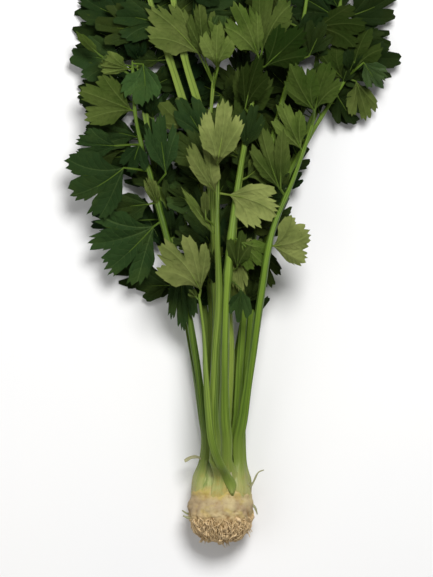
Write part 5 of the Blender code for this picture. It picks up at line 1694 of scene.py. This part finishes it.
def add_fillers(all_fronds):
    """Gives the low fronds small leaflets, over gaps and among the others. Returns each frond's ceiling."""
    pile, stalks, ceilings = covered_ground(all_fronds)
    rng = random.Random("fillers")
    covered = pile.top > LOWEST - CLEARANCE
    inside = ~widened(~widened(covered, CLOSING), CLOSING)
    close_gaps(all_fronds, stalks, pile, covered, inside, rng)
    for layer in range(SMALL_TO):
        for _ in range(SMALL_LOW_EACH if layer < FINE_FROM else SMALL_EACH):
            node = stalks[layer].at(rng.uniform(FILL_ABOVE, stalks[layer].length))[:2]
            turn = rng.uniform(-SMALL_TURN, SMALL_TURN)
            spot = node + rng.uniform(*SMALL_AWAY) * np.array([math.sin(turn), math.cos(turn)])
            made = small_leaflet(rng, pile, inside, node, spot)
            if made and not left_open(spot, layer):
                all_fronds[layer].more.append(made)
    return ceilings


def random_tone(rng, frond, share):
    """How light, how olive and how glossy a leaflet is: near its frond's own tone, and not glossy."""
    light, hue = frond.tone
    light = light * share + rng.uniform(-LIGHT_JITTER, LIGHT_JITTER)
    hue = hue + rng.uniform(-HUE_JITTER, HUE_JITTER)
    return min(1.0, max(0.0, light)), min(1.0, max(0.0, hue)), 0.0


def make_fronds(materials):
    """One piece for each frond, which lies on those before it, with the small leaflets that fit between."""
    pile = Pile()
    all_fronds = fronds()
    ceilings = add_fillers(all_fronds)
    for layer, frond in enumerate(all_fronds):
        rng = random.Random(frond.name)
        looks = random.Random(frond.name + "_looks")
        ground = pile.copy()
        stalk = Stalk(frond, layer, pile)
        below = pile.copy()
        below.top = below.top + MORE_CLEARANCE - CLEARANCE
        along, line = spine(stalk)
        line = let_down(stalk, along, line, ground)
        skin = Skin()
        nodes = []
        for leaflet in frond.leaflets + frond.more:
            small = leaflet in frond.more
            fine = layer >= FINE_FROM and not small
            blade = Blade(leaflet, stalk, below if small else pile, rng, small)
            if small and (sticks_out(blade, ceilings[layer], pile) or hangs_far(blade, stalk)):
                continue
            # Small leaflets are made darker than their frond's tone, as painted shade.
            blade.tone = leaflet.tone or random_tone(looks, frond, SMALL_LIGHT_IN_PAINTED_SHADE if small else 1.0)
            blade.stem_scale = SMALL_STEM if small else 1.0
            nodes.append(float(stalk.node_for(blade.foot, blade.ahead)) - leaflet.lower)
            outline = add_blade(skin, blade, looks, fine)
            add_stem(skin, blade, outline, spot_at(along, line, nodes[-1]), fine)
        add_stalk(skin, frond, stalk, along, line, nodes)
        skin.piece(frond.name.replace("frond", "grown"), materials, frond.name)


def make_stage():
    """A plain pale floor and soft light from above and to the right."""
    bpy.ops.mesh.primitive_plane_add(size=FLOOR_SIZE)
    floor = bpy.context.object
    floor.name = "floor"
    finish = Finish("floor_paint")
    patches = finish.ramp(finish.speckle(3.0, 2.0), 0.3, 0.7)
    floor.data.materials.append(finish.done(finish.colour(patches, FLOOR_PALE, FLOOR_WARM)))
    world = bpy.data.worlds.new("studio")
    world.use_nodes = True
    sky = world.node_tree.nodes["Background"].inputs
    sky["Color"].default_value = (*SKY_COLOUR, 1.0)
    sky["Strength"].default_value = SKY_STRENGTH
    bpy.context.scene.world = world
    for name, place, size, power in LAMPS:
        light = bpy.data.lights.new(name, "AREA")
        light.shape = "DISK"
        light.size = size
        light.energy = power
        lamp = bpy.data.objects.new(name, light)
        lamp.location = place
        lamp.rotation_euler = Vector(place).to_track_quat("Z", "Y").to_euler()
        bpy.context.scene.collection.objects.link(lamp)


def make_camera():
    """Straight down, so that a millimetre at the fronds' middle height is a pixel of the photograph."""
    lens = bpy.data.cameras.new("camera")
    camera = bpy.data.objects.new("camera", lens)
    x = (PICTURE_LEFT + PICTURE_SIZE[0] / 2 - MIDDLE[0]) * METRES
    y = (PICTURE_TOP - PICTURE_SIZE[1] / 2 - MIDDLE[1]) * METRES
    camera.location = (x, y, CAMERA_HEIGHT + LEAVES_HEIGHT)
    lens.sensor_fit = "VERTICAL"
    lens.sensor_height = SENSOR
    lens.lens = SENSOR * CAMERA_HEIGHT / (PICTURE_SIZE[1] * METRES)
    lens.clip_end = FARTHEST_SEEN
    bpy.context.scene.collection.objects.link(camera)
    bpy.context.scene.camera = camera


bpy.context.scene.view_settings.view_transform = "Standard"
make_camera()
make_stage()
make_bulb(bulb_finish())
make_roots(root_finish())
make_loose_strands(dry_finish())
make_fronds([stalk_finish(), leaf_upper("leaf_upper_side"), leaf_under(), leaf_upper("leaf_glossy_side")])
